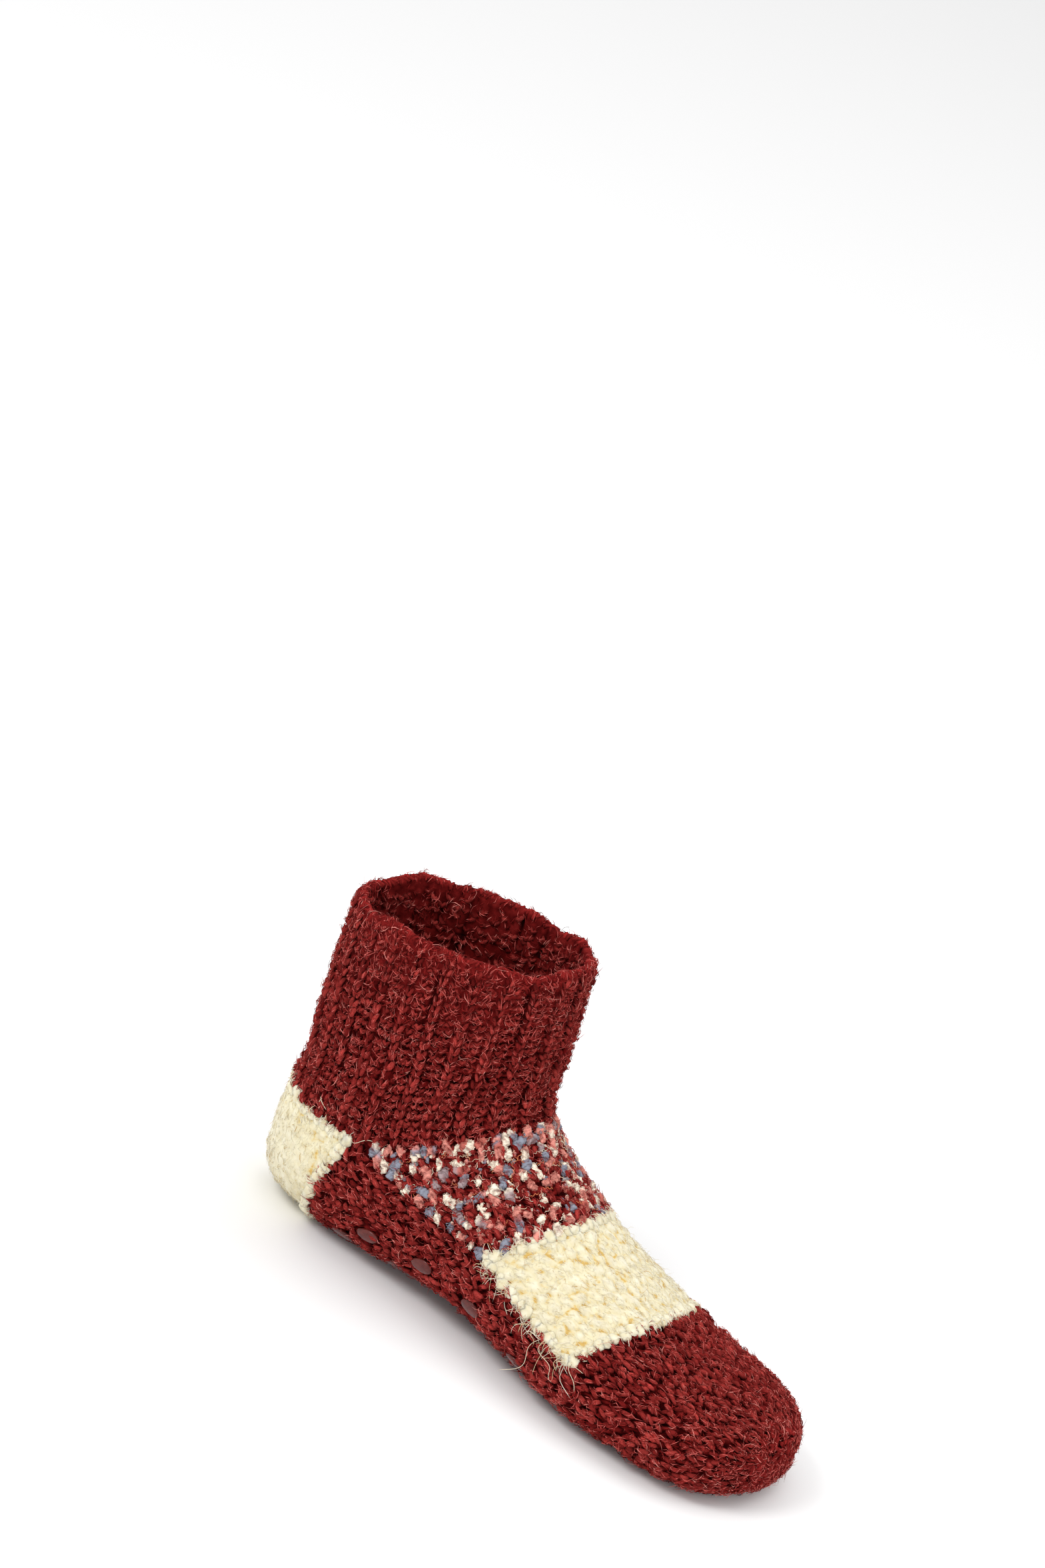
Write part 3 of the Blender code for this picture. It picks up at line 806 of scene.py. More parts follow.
def yarn_finish(name, roughness, gloss, bump, fibre_gap_shade=0.52, scale=2.6):
    """Yarn and hair: the piece's own tint, streaked by the fibres that wind along each strand,
    with painted shade in the gaps between them.
    """
    made, tree, shader = plain_finish(name, roughness, gloss)
    tint = add_node(tree, "ShaderNodeAttribute", attribute_name="tint")
    winding = add_node(tree, "ShaderNodeAttribute", attribute_name="winding")
    fibres = add_node(tree, "ShaderNodeTexNoise", in_Scale=scale, in_Detail=3.0,
                      in_Roughness=0.7, in_Vector=winding.outputs["Vector"]).outputs["Fac"]
    add_bumps(tree, shader, fibres, bump, 0.4 * MM)
    # Painted shade: the gaps between the fibres are darkened to the given share.
    streaks = ramp_node(tree, fibres, [(0.34, (fibre_gap_shade, 0.88 * fibre_gap_shade, 0.88 * fibre_gap_shade, 1)), (0.56, WHITE)])
    colour = multiply_node(tree, tint.outputs["Color"], streaks)
    tree.links.new(colour, shader.inputs["Base Color"])
    return made


def silicone_finish():
    """Clear grip silicone over dark red knit: glossy, smoky, a little see-through."""
    made, tree, shader = plain_finish("clear_silicone_grip", 0.22, 0.35)
    place = add_node(tree, "ShaderNodeTexCoord")
    haze = add_node(tree, "ShaderNodeTexNoise", in_Scale=420.0, in_Detail=4.0,
                    in_Vector=place.outputs["Object"])
    colour = ramp_node(tree, haze.outputs["Fac"], [(0.30, srgb(78, 20, 17)),
                                                   (0.70, srgb(104, 42, 36))])
    tree.links.new(colour, shader.inputs["Base Color"])
    shader.inputs["Coat Weight"].default_value = 0.25
    shader.inputs["Coat Roughness"].default_value = 0.12
    shader.inputs["IOR"].default_value = 1.41
    return made


# Painted shade in both red knits: their lowest stops are the near-black shade of the hollows.
RED_KNIT = knit_finish("red_felted_knit", [
    (0.00, srgb(24, 0, 1)), (0.35, srgb(76, 6, 7)), (0.68, srgb(128, 28, 27)),
    (1.00, srgb(162, 48, 45))], (0.62, 0.55, 0.55, 1))
LINING_KNIT = knit_finish("red_lining_knit", [
    (0.00, srgb(30, 2, 3)), (0.50, srgb(92, 12, 12)), (1.00, srgb(130, 28, 25))],
    (0.66, 0.60, 0.60, 1))
# Painted shade: the low stops turn the gaps between the pillows golden and darker, in patches.
CREAM_KNIT = knit_finish("cream_boucle_knit", [
    (0.00, srgb(224, 190, 114)), (0.08, srgb(233, 213, 156)), (0.26, srgb(234, 226, 192)),
    (1.00, srgb(234, 229, 206))], (0.97, 0.95, 0.90, 1), bump=0.30, patchy=0.36)
soft = CREAM_KNIT.node_tree.nodes["Principled BSDF"].inputs
soft["Subsurface Weight"].default_value = 0.6
soft["Subsurface Radius"].default_value = (1.0, 0.95, 0.85)
soft["Subsurface Scale"].default_value = 1.6 * MM
RED_YARN = yarn_finish("red_wool_yarn", 0.95, 0.05, 0.8)
RED_HAIR = yarn_finish("red_wool_hair", 0.90, 0.06, 0.1)
CREAM_HAIR = yarn_finish("cream_yarn", 0.75, 0.20, 0.3)
NUB_YARN = yarn_finish("twisted_nub_yarn", 0.90, 0.15, 1.0, 0.42, 1.5)
SILICONE = silicone_finish()


# The red knit

INSTEP = np.linspace(0, SIDE_GIRTH, 36)
BRIDGE = np.linspace(SIDE_GIRTH, APEX_GIRTH, 9)
UNDER = np.linspace(APEX_GIRTH, 1, 36)
ROUND = np.concatenate([INSTEP, BRIDGE[1:], UNDER[1:]])
BELOW = np.concatenate([BRIDGE, UNDER[1:]])
INSIDE_ROWS = 13                   # rows of the leg's grid on its inner face
ROLL_ROWS = 11                     # rows over the rim
LEG_GRID_ROWS = 60                 # steps down the outer face
INSIDE_END_ROW = 0.95
LINING_TOP_ROW = 0.85
WAVE_END_ROW = 1.3                 # row where the rim's waves have faded


def over_rim(turns, bend, radius):
    """Points of the roll over the rim and the skin's normals there.

    They lie on a circle whose middle is RIM_RADIUS inside the skin. bend is the angle on it, from
    0 on the outer face to pi on the inner one.
    """
    rows = np.full(turns.shape, RIM_ROW)
    bare, normals = on_skin(rows, turns)
    ahead = unit(toeward_step(rows, turns, 0.05))
    bend = bend[..., None]
    points = bare + normals * (radius * np.cos(bend) - RIM_RADIUS) - ahead * radius * np.sin(bend)
    points[..., 2] += rim_height(turns)
    return points, normals


def leg_grid():
    """The leg's grid: up the inside for a short way, over the rim in a half circle, down outside.

    Outside, a point lies on the skin. Over the rim it turns on a circle of RIM_RADIUS whose
    middle is that far inside the skin. Inside, it lies two radii in. So that no inner point is
    welded to an outer one, the bare points of the inner ones are moved apart.
    """
    turn, girth = turns_of(ROUND)
    outer = rows_between(level(RIM_ROW), leg_end, LEG_GRID_ROWS, girth)
    inner = np.linspace(INSIDE_END_ROW, RIM_ROW, INSIDE_ROWS + 1)[:-1, None] + 0 * outer[:1]
    over = np.full((ROLL_ROWS, len(turn)), RIM_ROW)
    rows = np.vstack([inner, over, outer])
    turns = np.broadcast_to(turn, rows.shape)
    bare, normals = on_skin(rows, turns)
    ahead = unit(toeward_step(rows, turns, 0.05))
    bend = np.concatenate([np.full(INSIDE_ROWS, pi), np.linspace(pi, 0, ROLL_ROWS + 2)[1:-1],
                           np.zeros(LEG_GRID_ROWS + 1)])[:, None, None]
    relief = leg_relief(rows, turns, bare - ahead * (np.sin(bend) * RIM_RADIUS))
    sunk = 0.45 * MM * (bend[..., 0] == 0) * ramp(0.15, 0.6, rows)
    swell = STITCH_DEPTH * (relief - 0.5) * np.where(np.sin(bend[..., 0]) > 0.01, 0.5, 1.0)
    radius = RIM_RADIUS + swell[..., None]
    wave = rim_height(turns) * (1 - ramp(0.0, WAVE_END_ROW, rows))
    middle = (bare - normals * (RIM_RADIUS + crease_depth(bare))[..., None]
              + wave[..., None] * np.array([0, 0, 1]))
    outwards = np.cos(bend) * normals - np.sin(bend) * ahead
    finished = middle + radius * outwards - normals * sunk[..., None]
    under = middle + 0.3 * MM * outwards
    apart = bare.copy()
    over_and_in = INSIDE_ROWS + ROLL_ROWS
    apart[:over_and_in] -= normals[:over_and_in] * (
        1.0 * MM + 0.1 * MM * np.arange(over_and_in)[:, None, None])
    return rows, turns, apart, finished, relief, under


FOOT_LOOK = (foot_relief, STITCH_DEPTH, FOOT_LIFT)
red = join_grids([leg_grid(), *patch(foot_start, cream_end, 76, BELOW, *FOOT_LOOK),
                  *patch(cream_end, level(TIP_ROW), 44, ROUND, *FOOT_LOOK)])
add_wall("knit_body_stitches", red, RED_KNIT, "red_knit", ["knit_body"])


def lining_surface():
    """The inside of the sock: the skin, a wall's thickness in, facing inwards."""
    turn, girth = turns_of(np.linspace(0, 1, 40))
    rows = rows_between(level(LINING_TOP_ROW), level(TIP_ROW), 56, girth)
    turns = np.broadcast_to(turn, rows.shape)
    bare, normals = on_skin(rows, turns)
    relief = np.where(rows < leg_end(np.abs(turns)), leg_relief(rows, turns, bare),
                      foot_relief(rows, turns, bare))
    points = bare - normals * (WALL + LINING_RELIEF * (relief[..., None] - 0.5) + 0.6 * MM)
    made = join_grids([(rows, turns, bare, points, relief, bare - normals * LINING_DEPTH)])
    return made._replace(triangles=made.triangles[:, ::-1])


add_wall("lining", lining_surface(), LINING_KNIT, "red_knit")


# The yarn bands and the heel


def speckled_relief(row, turn, points):
    """Relief of the red ground between the nubs: wavy rows with deep gaps."""
    course = share_between(speckled_top, cream_top, turn, row) * SPECKLED_COURSES
    places = np.stack([turn * half_girth(row) / WALE_WIDTH, course], -1)
    bumps = pillows(places, 51, 0.6, 0.40)
    return np.clip(bumps * 0.8 + 0.1 + 0.14 * ripple(points, 3.4 * MM, 17), 0, 1)


def cream_relief(row, turn, points):
    """Relief of the cream band: soft pillows in columns along the foot, with narrow gaps."""
    course = share_between(cream_top, cream_end, turn, row) * CREAM_COURSES
    places = np.stack([turn * half_girth(row) / PILLOW_WIDTH, course], -1)
    places = places + 0.14 * ripple(points, 15 * MM, 18)[..., None]
    soft = pillows(places, 61, 0.80, np.array([0.20, 0.44]))
    small = pillows(points / (3.0 * MM), 62, 0.70, 0.44)
    return np.clip(0.74 * soft + 0.20 * small + 0.07 * ripple(points, 3.4 * MM, 19) + 0.08, 0, 1)


def heel_relief(row, turn, points):
    """Relief of the heel: cream pillows worn nearly smooth at the back, lumpy at the edges."""
    girth = np.abs(turn)
    top, end = leg_end(girth), foot_start(girth)
    middle = np.clip(np.minimum(row - top, end - row) * 1.6, 0, 1) * ramp(0.58, 0.80, girth)
    soft = pillows(points / (4.8 * MM), 71, 0.75, 0.42)
    small = pillows(points / (2.8 * MM), 72, 0.65, 0.42)
    rough = 0.70 * soft + 0.30 * small
    smooth = 0.72 + 0.14 * (rough - 0.5) + 0.12 * ripple(points, 10 * MM, 20)
    return np.clip(rough * (1 - middle) + smooth * middle, 0, 1)


speckled = join_grids(patch(speckled_top, cream_top, 60, INSTEP, speckled_relief,
                            STITCH_DEPTH, 0.2 * MM))
cream = join_grids(patch(cream_top, cream_end, 68, np.linspace(0, SIDE_GIRTH, 80), cream_relief,
                         1.0 * MM, 1.0 * MM))
heel = join_grids(patch(leg_end, foot_start, 76, np.linspace(APEX_GIRTH, 1, 54), heel_relief,
                        0.8 * MM, 0.9 * MM))
add_wall("speckled_band_ground", speckled, RED_KNIT, "speckled_yarn", ["speckled_band"])
add_wall("cream_band_pillows", cream, CREAM_KNIT, "cream_boucle", ["cream_band"])
add_wall("heel_cup_pillows", heel, CREAM_KNIT, "cream_boucle", ["heel_cup"])


# Lumps of yarn


def frame_at(row, turn):
    """Points, outward normals, unit directions ahead (to the toe) and around (turn rising)."""
    points, normals = on_skin(row, turn)
    ahead = toeward_step(row, turn, 0.03)
    ahead = unit(ahead - normals * (ahead * normals).sum(-1, keepdims=True))
    return points, normals, ahead, unit(np.cross(normals, ahead))


def cotton(s, t, number):
    """Roughness of a cotton lump: three sines that differ from lump to lump."""
    return np.sin(s) * (0.12 * np.sin(2 * t + 2.1 * number + 3 * s)
                        + 0.09 * np.sin(3 * t - 4 * s + 1.3 * number)
                        + 0.05 * np.sin(5 * t + 6 * s + 3.7 * number))


def marks_along(rows, turns, spacing, seed=None):
    """Rows and turns spaced along a line of the skin, with a seed a little off at random."""
    points, _ = on_skin(rows, turns)
    reach = np.concatenate([[0], np.cumsum(np.linalg.norm(np.diff(points, axis=0), axis=1))])
    marks = np.arange(spacing / 2, reach[-1], spacing)
    if seed is not None:
        marks += np.random.default_rng(seed).uniform(-0.2, 0.2, len(marks)) * spacing
    return np.interp(marks, reach, rows), np.interp(marks, reach, turns)


def side_edge(side, spacing, seed):
    """Rows and turns along one side edge of the cream band."""
    rows = np.linspace(CREAM_TOP[1], CREAM_END[1], 300)
    return marks_along(rows, np.full(300, side * SIDE_GIRTH), spacing, seed)


def curve_edge(rows_of, girth_from, girth_to, spacing):
    """Rows and turns spaced along a yarn edge on both sides of the sock."""
    girths = np.linspace(girth_from, girth_to, 400)
    _, girth = marks_along(rows_of(girths), girths, spacing)
    return np.tile(rows_of(girth), 2), np.concatenate([girth, -girth])


def add_edge_lumps():
    """The cotton lumps that scallop the edges of the cream pieces."""
    places = [curve_edge(rows_of, start, end, 3.8 * MM) for rows_of, start, end in (
        (cream_top, 0.0, SIDE_GIRTH), (cream_end, 0.0, SIDE_GIRTH),
        (leg_end, APEX_GIRTH, 0.995), (foot_start, APEX_GIRTH, 0.995))]
    places += [side_edge(side, 4.0 * MM, 5 + side) for side in (1, -1)]
    row, turn = joined(places, 0, 1)
    spread = random.uniform(-1, 1, (len(row), 3)) * 0.8 * MM
    spot, normal, ahead, around = frame_at(row, turn)
    size = random.uniform(2.2, 3.2, len(spot))[:, None] * MM
    lean = random.uniform(0, pi, len(spot))[:, None]
    long_axis = np.cos(lean) * ahead + np.sin(lean) * around
    spot = spot + ahead * spread[:, :1] + around * spread[:, 1:2] + normal * 0.2 * MM
    points, triangles, rough, _ = lumps(
        spot, long_axis * size * 1.05, np.cross(normal, long_axis) * size * 0.95,
        normal * size * random.uniform(0.5, 0.70, (len(spot), 1)), cotton, 7, 10)
    # The lumps' relief drives the cream finish, so their hollows get its painted shade.
    add_piece("cream_edge_lumps", press(points), triangles, CREAM_KNIT, "cream_boucle",
              [("relief", np.clip(0.60 + rough * 1.6, 0.12, 1))])


add_edge_lumps()

SLATE = srgb(142, 146, 160)
PINK = srgb(228, 148, 134)
ROSE = srgb(194, 106, 94)
IVORY = srgb(255, 242, 220)
LILAC = srgb(172, 152, 154)
NUB_COLOURS = (SLATE, PINK, IVORY, ROSE, LILAC)
# Red between the nubs' threads, mixed in by depth: partly that red, partly painted shade.
RED_AND_SHADE_BETWEEN_THREADS = srgb(120, 36, 32)


def nub_places():
    """Rows and turns of the nubs: a jittered lattice over the band, then more along its top."""
    places = []
    for side in (1, -1):
        for k, girth in enumerate(np.linspace(0.02, SIDE_GIRTH - 0.03, 9)):
            count = 9 if k % 2 else 8
            share = (np.arange(count) + 0.3 + 0.4 * (k % 2)) / count
            share = np.clip(share + random.uniform(-0.045, 0.045, count), 0.01, 0.97)
            turn = side * np.clip(girth + random.uniform(-0.018, 0.018, count), 0.0, 0.44)
            places.append((row_between(speckled_top, cream_top, girth, share), turn))
    row, turn = curve_edge(speckled_top, 0.01, SIDE_GIRTH - 0.02, 6.4 * MM)
    places.append((row + random.uniform(0.02, 0.16, len(row)), turn))
    return joined(places, 0, 1)


# Nubs down the side of the band: share of the way, colour, half length and half width
SIDE_NUBS = (
    (0.02, SLATE, 3.2, 2.1), (0.11, PINK, 3.9, 2.0), (0.19, IVORY, 2.8, 1.9),
    (0.27, SLATE, 2.6, 2.1), (0.34, PINK, 2.2, 1.6), (0.41, IVORY, 2.9, 1.8),
    (0.51, PINK, 3.0, 1.9), (0.60, SLATE, 2.2, 1.9), (0.66, IVORY, 2.5, 1.6),
    (0.76, SLATE, 1.6, 1.2), (0.84, PINK, 2.1, 1.5), (0.91, IVORY, 1.7, 1.1),
    (0.97, SLATE, 2.7, 2.1),
)


def twisted(s, t, number):
    """Roughness of a nub: slow lumps and the ridge of its thread."""
    return np.sin(s) * (0.19 * np.sin(t + 3 * s + 2.7 * number)
                        + 0.13 * np.sin(3 * t - 4 * s + 1.9 * number)
                        + 0.13 * np.sin(2 * t + 7 * s + number))


def yarn_nubs(row, turn, colours, half_length, half_width, lift, rings, sides):
    """Points, triangles, tints and windings of nubs that lie along the slant of the knit."""
    spot, normal, ahead, around = frame_at(row, turn)
    side = np.sign(turn + 1e-9)[:, None]
    lean = radians(38) + random.normal(0, 0.5, (len(spot), 1))
    long_axis = -np.cos(lean) * ahead - side * np.sin(lean) * around
    half_length, half_width = half_length[:, None] * MM, half_width[:, None] * MM
    points, triangles, rough, winding = lumps(
        spot + normal * lift, long_axis * half_length, np.cross(normal, long_axis) * half_width,
        normal * half_width * 0.85, twisted, rings, sides)
    each = len(points) // len(spot)
    tint, middle, heading = (np.repeat(values, each, axis=0)
                             for values in (colours, spot, long_axis / half_length))
    along = ((points - middle) * heading).sum(-1, keepdims=True)
    other = np.roll(tint, 5 * each, axis=0)
    two_coloured = np.arange(len(tint))[:, None] // each % 5 < 2
    mixed = 0.8 * ramp(0.1, 0.5, along) * two_coloured
    tint = tint * (1 - mixed) + other * mixed
    # Darker red the deeper a hollow between the threads lies: the red between them and painted
    # shade.
    deep = np.clip(-2.6 * rough - 0.05, 0, 0.7)[:, None]
    tint = tint * (1 - deep) + RED_AND_SHADE_BETWEEN_THREADS * deep
    return points, triangles, tint, winding


def drawn(pick, colours, chances, count):
    """Colours drawn at random by their chances."""
    return np.array(colours)[pick.choice(len(colours), count, p=chances)]


def over_band(count, first_share):
    """Rows and turns of random places over the speckled band, from a share of its way on."""
    turn = random.uniform(-SIDE_GIRTH, SIDE_GIRTH, count)
    return row_between(speckled_top, cream_top, turn,
                       random.uniform(first_share, 0.97, count)), turn


def add_nubs():
    """The nubs of the speckled band and its crumbs. The nubs' joined arrays are given back."""
    row, turn = nub_places()
    count = len(row)
    groups = [yarn_nubs(
        row, turn, drawn(random, NUB_COLOURS, [0.13, 0.33, 0.38, 0.11, 0.05], count),
        random.uniform(2.0, 3.9, count), random.uniform(1.35, 2.2, count), 0.7 * MM, 9, 10)]
    share, colours, half_length, half_width = (np.array(column) for column in zip(*SIDE_NUBS))
    row = SPECKLED_TOP[1] + (CREAM_TOP[1] - SPECKLED_TOP[1]) * share
    turn = SIDE_GIRTH + 0.004 * np.cos(9 * share)
    for side in (1, -1):
        groups.append(yarn_nubs(row, side * turn, colours, half_length, half_width,
                                0.8 * MM, 9, 10))
    nubs = add_yarn("nubs", groups, NUB_YARN, "speckled_yarn")
    count = 300
    row, turn = over_band(count, 0.03)
    add_yarn("nub_crumbs", [yarn_nubs(
        row, turn, drawn(random, NUB_COLOURS, [0.07, 0.34, 0.27, 0.28, 0.04], count),
        random.uniform(0.8, 1.9, count), random.uniform(0.5, 1.1, count), 0.6 * MM, 5, 6)],
        NUB_YARN, "speckled_yarn")
    return nubs


nubs = add_nubs()


# Threads


def thread_paths(row, turn, heading, length, bow, zigzag, waves, rise, places):
    """Paths of threads that lie on the knit.

    A path starts at its place and goes along its heading, an angle from ahead towards around. It
    bows sideways with the square of its share, zigzags by a sine, and lifts by half a sine.
    """
    spot, normal, ahead, around = frame_at(row, turn)
    forward = np.cos(heading)[:, None] * ahead + np.sin(heading)[:, None] * around
    sideways = np.cross(normal, forward)
    t = np.linspace(0, 1, places)[None, :]
    along = length[:, None] * t
    across = bow[:, None] * t * t + zigzag[:, None] * np.sin(2 * pi * waves[:, None] * t)
    up = 0.5 * MM + rise[:, None] * np.sin(pi * t) ** 0.8
    path = (spot[:, None] + forward[:, None] * along[..., None]
            + sideways[:, None] * across[..., None] + normal[:, None] * up[..., None])
    return path, normal


def spun(paths, radii, upward, colours, sides):
    """Points, triangles, tints and windings of threads. Their colours can change along them."""
    points, triangles = strands(paths, radii, sides, upward)
    count, places = paths.shape[:2]
    if colours.ndim == 2:
        colours = np.repeat(colours[:, None], places, axis=1)
    place = np.concatenate([[0], np.repeat(np.arange(1, places - 1), sides), [places - 1]])
    angle = np.arange(len(place)) % sides / sides * 2 * pi + 0.9 * place
    wide = (place > 0) & (place < places - 1)
    winding = np.stack([wide * np.cos(angle), wide * np.sin(angle), 0.3 * place], -1)
    winding = winding + own_start(count)[:, None, None] * np.array([0, 0, 1])
    return points, triangles, colours[:, place].reshape(-1, 4), winding.reshape(-1, 3)


def add_threads(name, groups, sides, finish, slot):
    """Joined piece of threads. Each group is paths, radii, upward directions and tints."""
    add_yarn(name, [spun(*group, sides) for group in groups], finish, slot)


# Yarn of the stitches


def grip_places():
    """Rows and turns of the grips, on a staggered lattice round the sole, as in the source."""
    rows = np.linspace(HEEL_SOLE_ROW, TIP_ROW - 0.1, 400)
    found = []
    for line in range(GRIP_ROWS_EACH_SIDE + 1):
        girths = 1 - line * GRIP_ROW_SPACING / half_girth(rows)
        x = on_skin(rows, girths)[0][:, 0] - HEEL_BACK_X
        first = GRIP_START + (line % 2) * GRIP_PITCH / 2
        for k in range(int((GRIP_END - first) / GRIP_PITCH + 1.0001)):
            row = np.interp(first + k * GRIP_PITCH, x, rows)
            turn = np.interp(row, rows, girths)
            found += [(row, turn), (row, -turn)] if line else [(row, turn)]
    return np.array(found)


GRIPS = grip_places()


def clear_of_grips(points, margin):
    """Which points lie further than a margin outside every grip's oval."""
    centres = on_skin(GRIPS[:, 0], GRIPS[:, 1])[0]
    reach = np.array([GRIP_LENGTH, GRIP_WIDTH, GRIP_WIDTH]) / 2 + margin
    return (np.linalg.norm((points[:, None] - centres) / reach, axis=-1) > 1).all(axis=1)


def row_lookup(first, last):
    """Function that gives rows from shares of the way between two edges and girth shares."""
    steps = 240
    table = rows_between(first, last, steps, np.linspace(0, 1, DENSE_GIRTH_STEPS + 1))[..., None]
    return lambda share, girth: read_grid(table, share, girth, steps)[..., 0]


leg_rows = row_lookup(level(RIM_ROW), leg_end)
whole_rows = row_lookup(level(0), level(TIP_ROW))


def leg_place(wale, course):
    """Row and turn of a place of the leg's knit, counted in wales and in courses from the rim."""
    turn = wale * 2 / LEG_WALES
    return leg_rows(course / LEG_COURSES, np.abs((turn + 1) % 2 - 1)), turn


def foot_place(wale, course):
    """Row and turn of a place of the foot's knit, in wales and in courses from the toe tip."""
    turn = wale * 2 / FOOT_WALES
    girth = np.abs((turn + 1) % 2 - 1)
    return whole_rows(1 - course * COURSE_HEIGHT / whole_travel(girth), girth), turn


ARC_PLACES = 5                     # places along an arc of yarn, its two ends among them
ARC_DIVE = 0.55 * MM               # how deep the ends of an arc lie in the knit
ARC_RED = srgb(156, 42, 40)
ARC_DEEP, ARC_BRIGHT = srgb(98, 9, 11), srgb(200, 74, 68)


def rib_swell(wale, course):
    """How far the leg's ribs stand out: the braid is raised, with a deep groove on one side."""
    braid_rise = 0.70 * np.exp(-(((wale + 1.0) % 3 - 1.5) / 0.42) ** 2)
    return MM * (braid_rise - 1.20 * groove_at(wale, course) - 0.10)


def no_swell(wale, course):
    """The foot's stitches lie level."""
    return 0.0 * wale


def felting(course):
    """Share of felting of the leg's knit: all of it by the rim, none from the ninth course on."""
    return 1 - ramp(4, 9, course)


def groove_at(wale, course):
    """How deep in the ribs' grooves a place lies, from 0 to 1. They are wider by the rim."""
    from_braid = (wale + 1.0) % 3 - 1.5
    wide = 1 + 0.7 * felting(course)
    return np.clip(np.exp(-((from_braid + 0.58) / (0.18 * wide)) ** 2)
                   + 0.5 * np.exp(-((from_braid - 0.60) / (0.14 * wide)) ** 2), 0, 1)


def stitch_arcs(place_of, swell, wale, course, across, along, sag, height, thick, seed):
    """Arcs of yarn, one for each stitch: paths, radii, upward directions and tints.

    An arc runs across so many wales and along so many courses, centred on its stitch, and sags
    along by a cosine. It rises out of the knit by half a sine and dives back in at both ends,
    where it is thinner and darker with painted shade; in the ribs' grooves its tint is darkened
    with painted shade too. Each of these sizes is a number or an array.
    """
    pick = np.random.default_rng(seed)
    count = len(wale)
    across, along, sag, height, thick = (
        np.broadcast_to(size, count)[:, None] for size in (across, along, sag, height, thick))
    t = np.linspace(0, 1, ARC_PLACES)[None, :]
    jitter = pick.normal(0, 1, (5, count, 1))
    loose = 0.05 if swell is rib_swell else 0.14
    wales = wale[:, None] + across * (t - 0.5) + loose * jitter[0]
    courses = (course[:, None] + along * (t - 0.5) * (1 + 0.15 * jitter[1])
               + sag * np.cos(2 * pi * (t - 0.5)) + 2 * loose * jitter[2])
    rows, turns = place_of(wales, courses)
    arch = np.sin(pi * t)
    out = height * (1 + 0.25 * jitter[3]) * arch ** 0.8 - ARC_DIVE
    paths = stand_on(rows, turns, out + swell(wales, courses))
    _, normals = on_skin(rows[:, 2], turns[:, 2])
    radii = thick * (1 + 0.12 * jitter[4]) * (0.62 + 0.38 * arch[:, 1:-1])
    mixed = ARC_DEEP + (ARC_BRIGHT - ARC_DEEP) * pick.beta(2.2, 2.2, (count, 1))
    # Painted shade: each arc darkens towards both ends, where it dives into the knit.
    tints = mixed[:, None] * (0.28 + 0.72 * arch[..., None] ** 0.7)
    tints = tints * pick.uniform(0.72, 1.18, (count, ARC_PLACES, 1))
    # Painted shade in the ribs' grooves: the arcs there are darkened.
    if swell is rib_swell:
        tints = tints * (1 - 0.78 * groove_at(wales, courses))[..., None]
    return paths, radii, normals, tints


# Arcs of the leg's stitches: wale of three, place in it, courses later, wales across, courses
# along, sag, then rise and thickness in millimetres
LEG_ARCS = (
    (0, 0.27, 0.0, -0.42, -1.25, 0.00, 1.45, 0.98), (0, 0.73, 0.0, 0.42, -1.25, 0.00, 1.45, 0.98),
    (1, 0.52, 0.0, 0.98, 0.0, 0.22, 1.05, 0.92), (2, 0.38, 0.0, 0.98, 0.0, 0.22, 1.05, 0.92),
    (2, -0.02, 0.5, 0.85, 0.0, -0.20, 0.80, 0.78), (1, 0.24, 0.5, 0.60, 0.0, -0.15, 0.60, 0.70),
)


def leg_stitches():
    """Arcs of the leg: braids of V stitches every third wale, and waves of purl between them.

    In the purl, crowns sag one way on each wale and feet the other way between the wales. A
    groove stays bare beside each braid. Towards the rim the arcs lie flatter, thinner and at odd
    slants in the felted knit.
    """
    pick = np.random.default_rng(130)
    wale, course = np.meshgrid(np.arange(LEG_WALES) - LEG_WALES // 2,
                               np.arange(0.4, LEG_COURSES, 1.0))
    wale, course = wale.ravel(), course.ravel()
    felt = felting(course)
    thin = 1 - 0.20 * felt
    odd = 0.35 * felt * pick.normal(0, 1, len(wale))
    made = []
    for seed, (kind, place, later, across, along, sag, rise, thick) in enumerate(LEG_ARCS, 101):
        at = wale % 3 == kind
        along = along + odd[at] * (kind > 0)
        made.append(stitch_arcs(leg_place, rib_swell, wale[at] + place, course[at] + later,
                                across, along, sag, rise * MM * thin[at], thick * MM * thin[at],
                                seed))
    return made + [rim_arcs(), inside_arcs()]


def rim_arcs():
    """Arcs that bind the rim: each goes over the roll, from near the outer face to the inner."""
    pick = np.random.default_rng(131)
    count = 260
    start, end = pick.uniform(-0.35, 0.10, count)[:, None], pick.uniform(0.9, 1.3, count)[:, None]
    share = np.linspace(0, 1, ARC_PLACES)
    bend = (start + (end - start) * share) * pi
    slant = pick.normal(0, 0.9, (count, 1)) / LEG_WALES
    turns = pick.uniform(-1, 1, (count, 1)) + slant * np.cos(bend)
    radius = RIM_RADIUS + pick.uniform(-0.3, 0.35, (count, 1, 1)) * MM
    paths, normals = over_rim(turns, bend, radius)
    arch = np.sin(pi * share)
    # Painted shade: darker towards both ends, where the arc dives into the knit.
    tints = ARC_RED * (0.35 + 0.65 * arch[None, :, None] ** 0.7)
    tints = tints * pick.uniform(0.6, 1.2, (count, 1, 1))
    radii = pick.uniform(0.55, 0.85, (count, 1)) * MM * (0.7 + 0.3 * arch[None, 1:-1])
    return paths, radii, normals[:, 2], tints


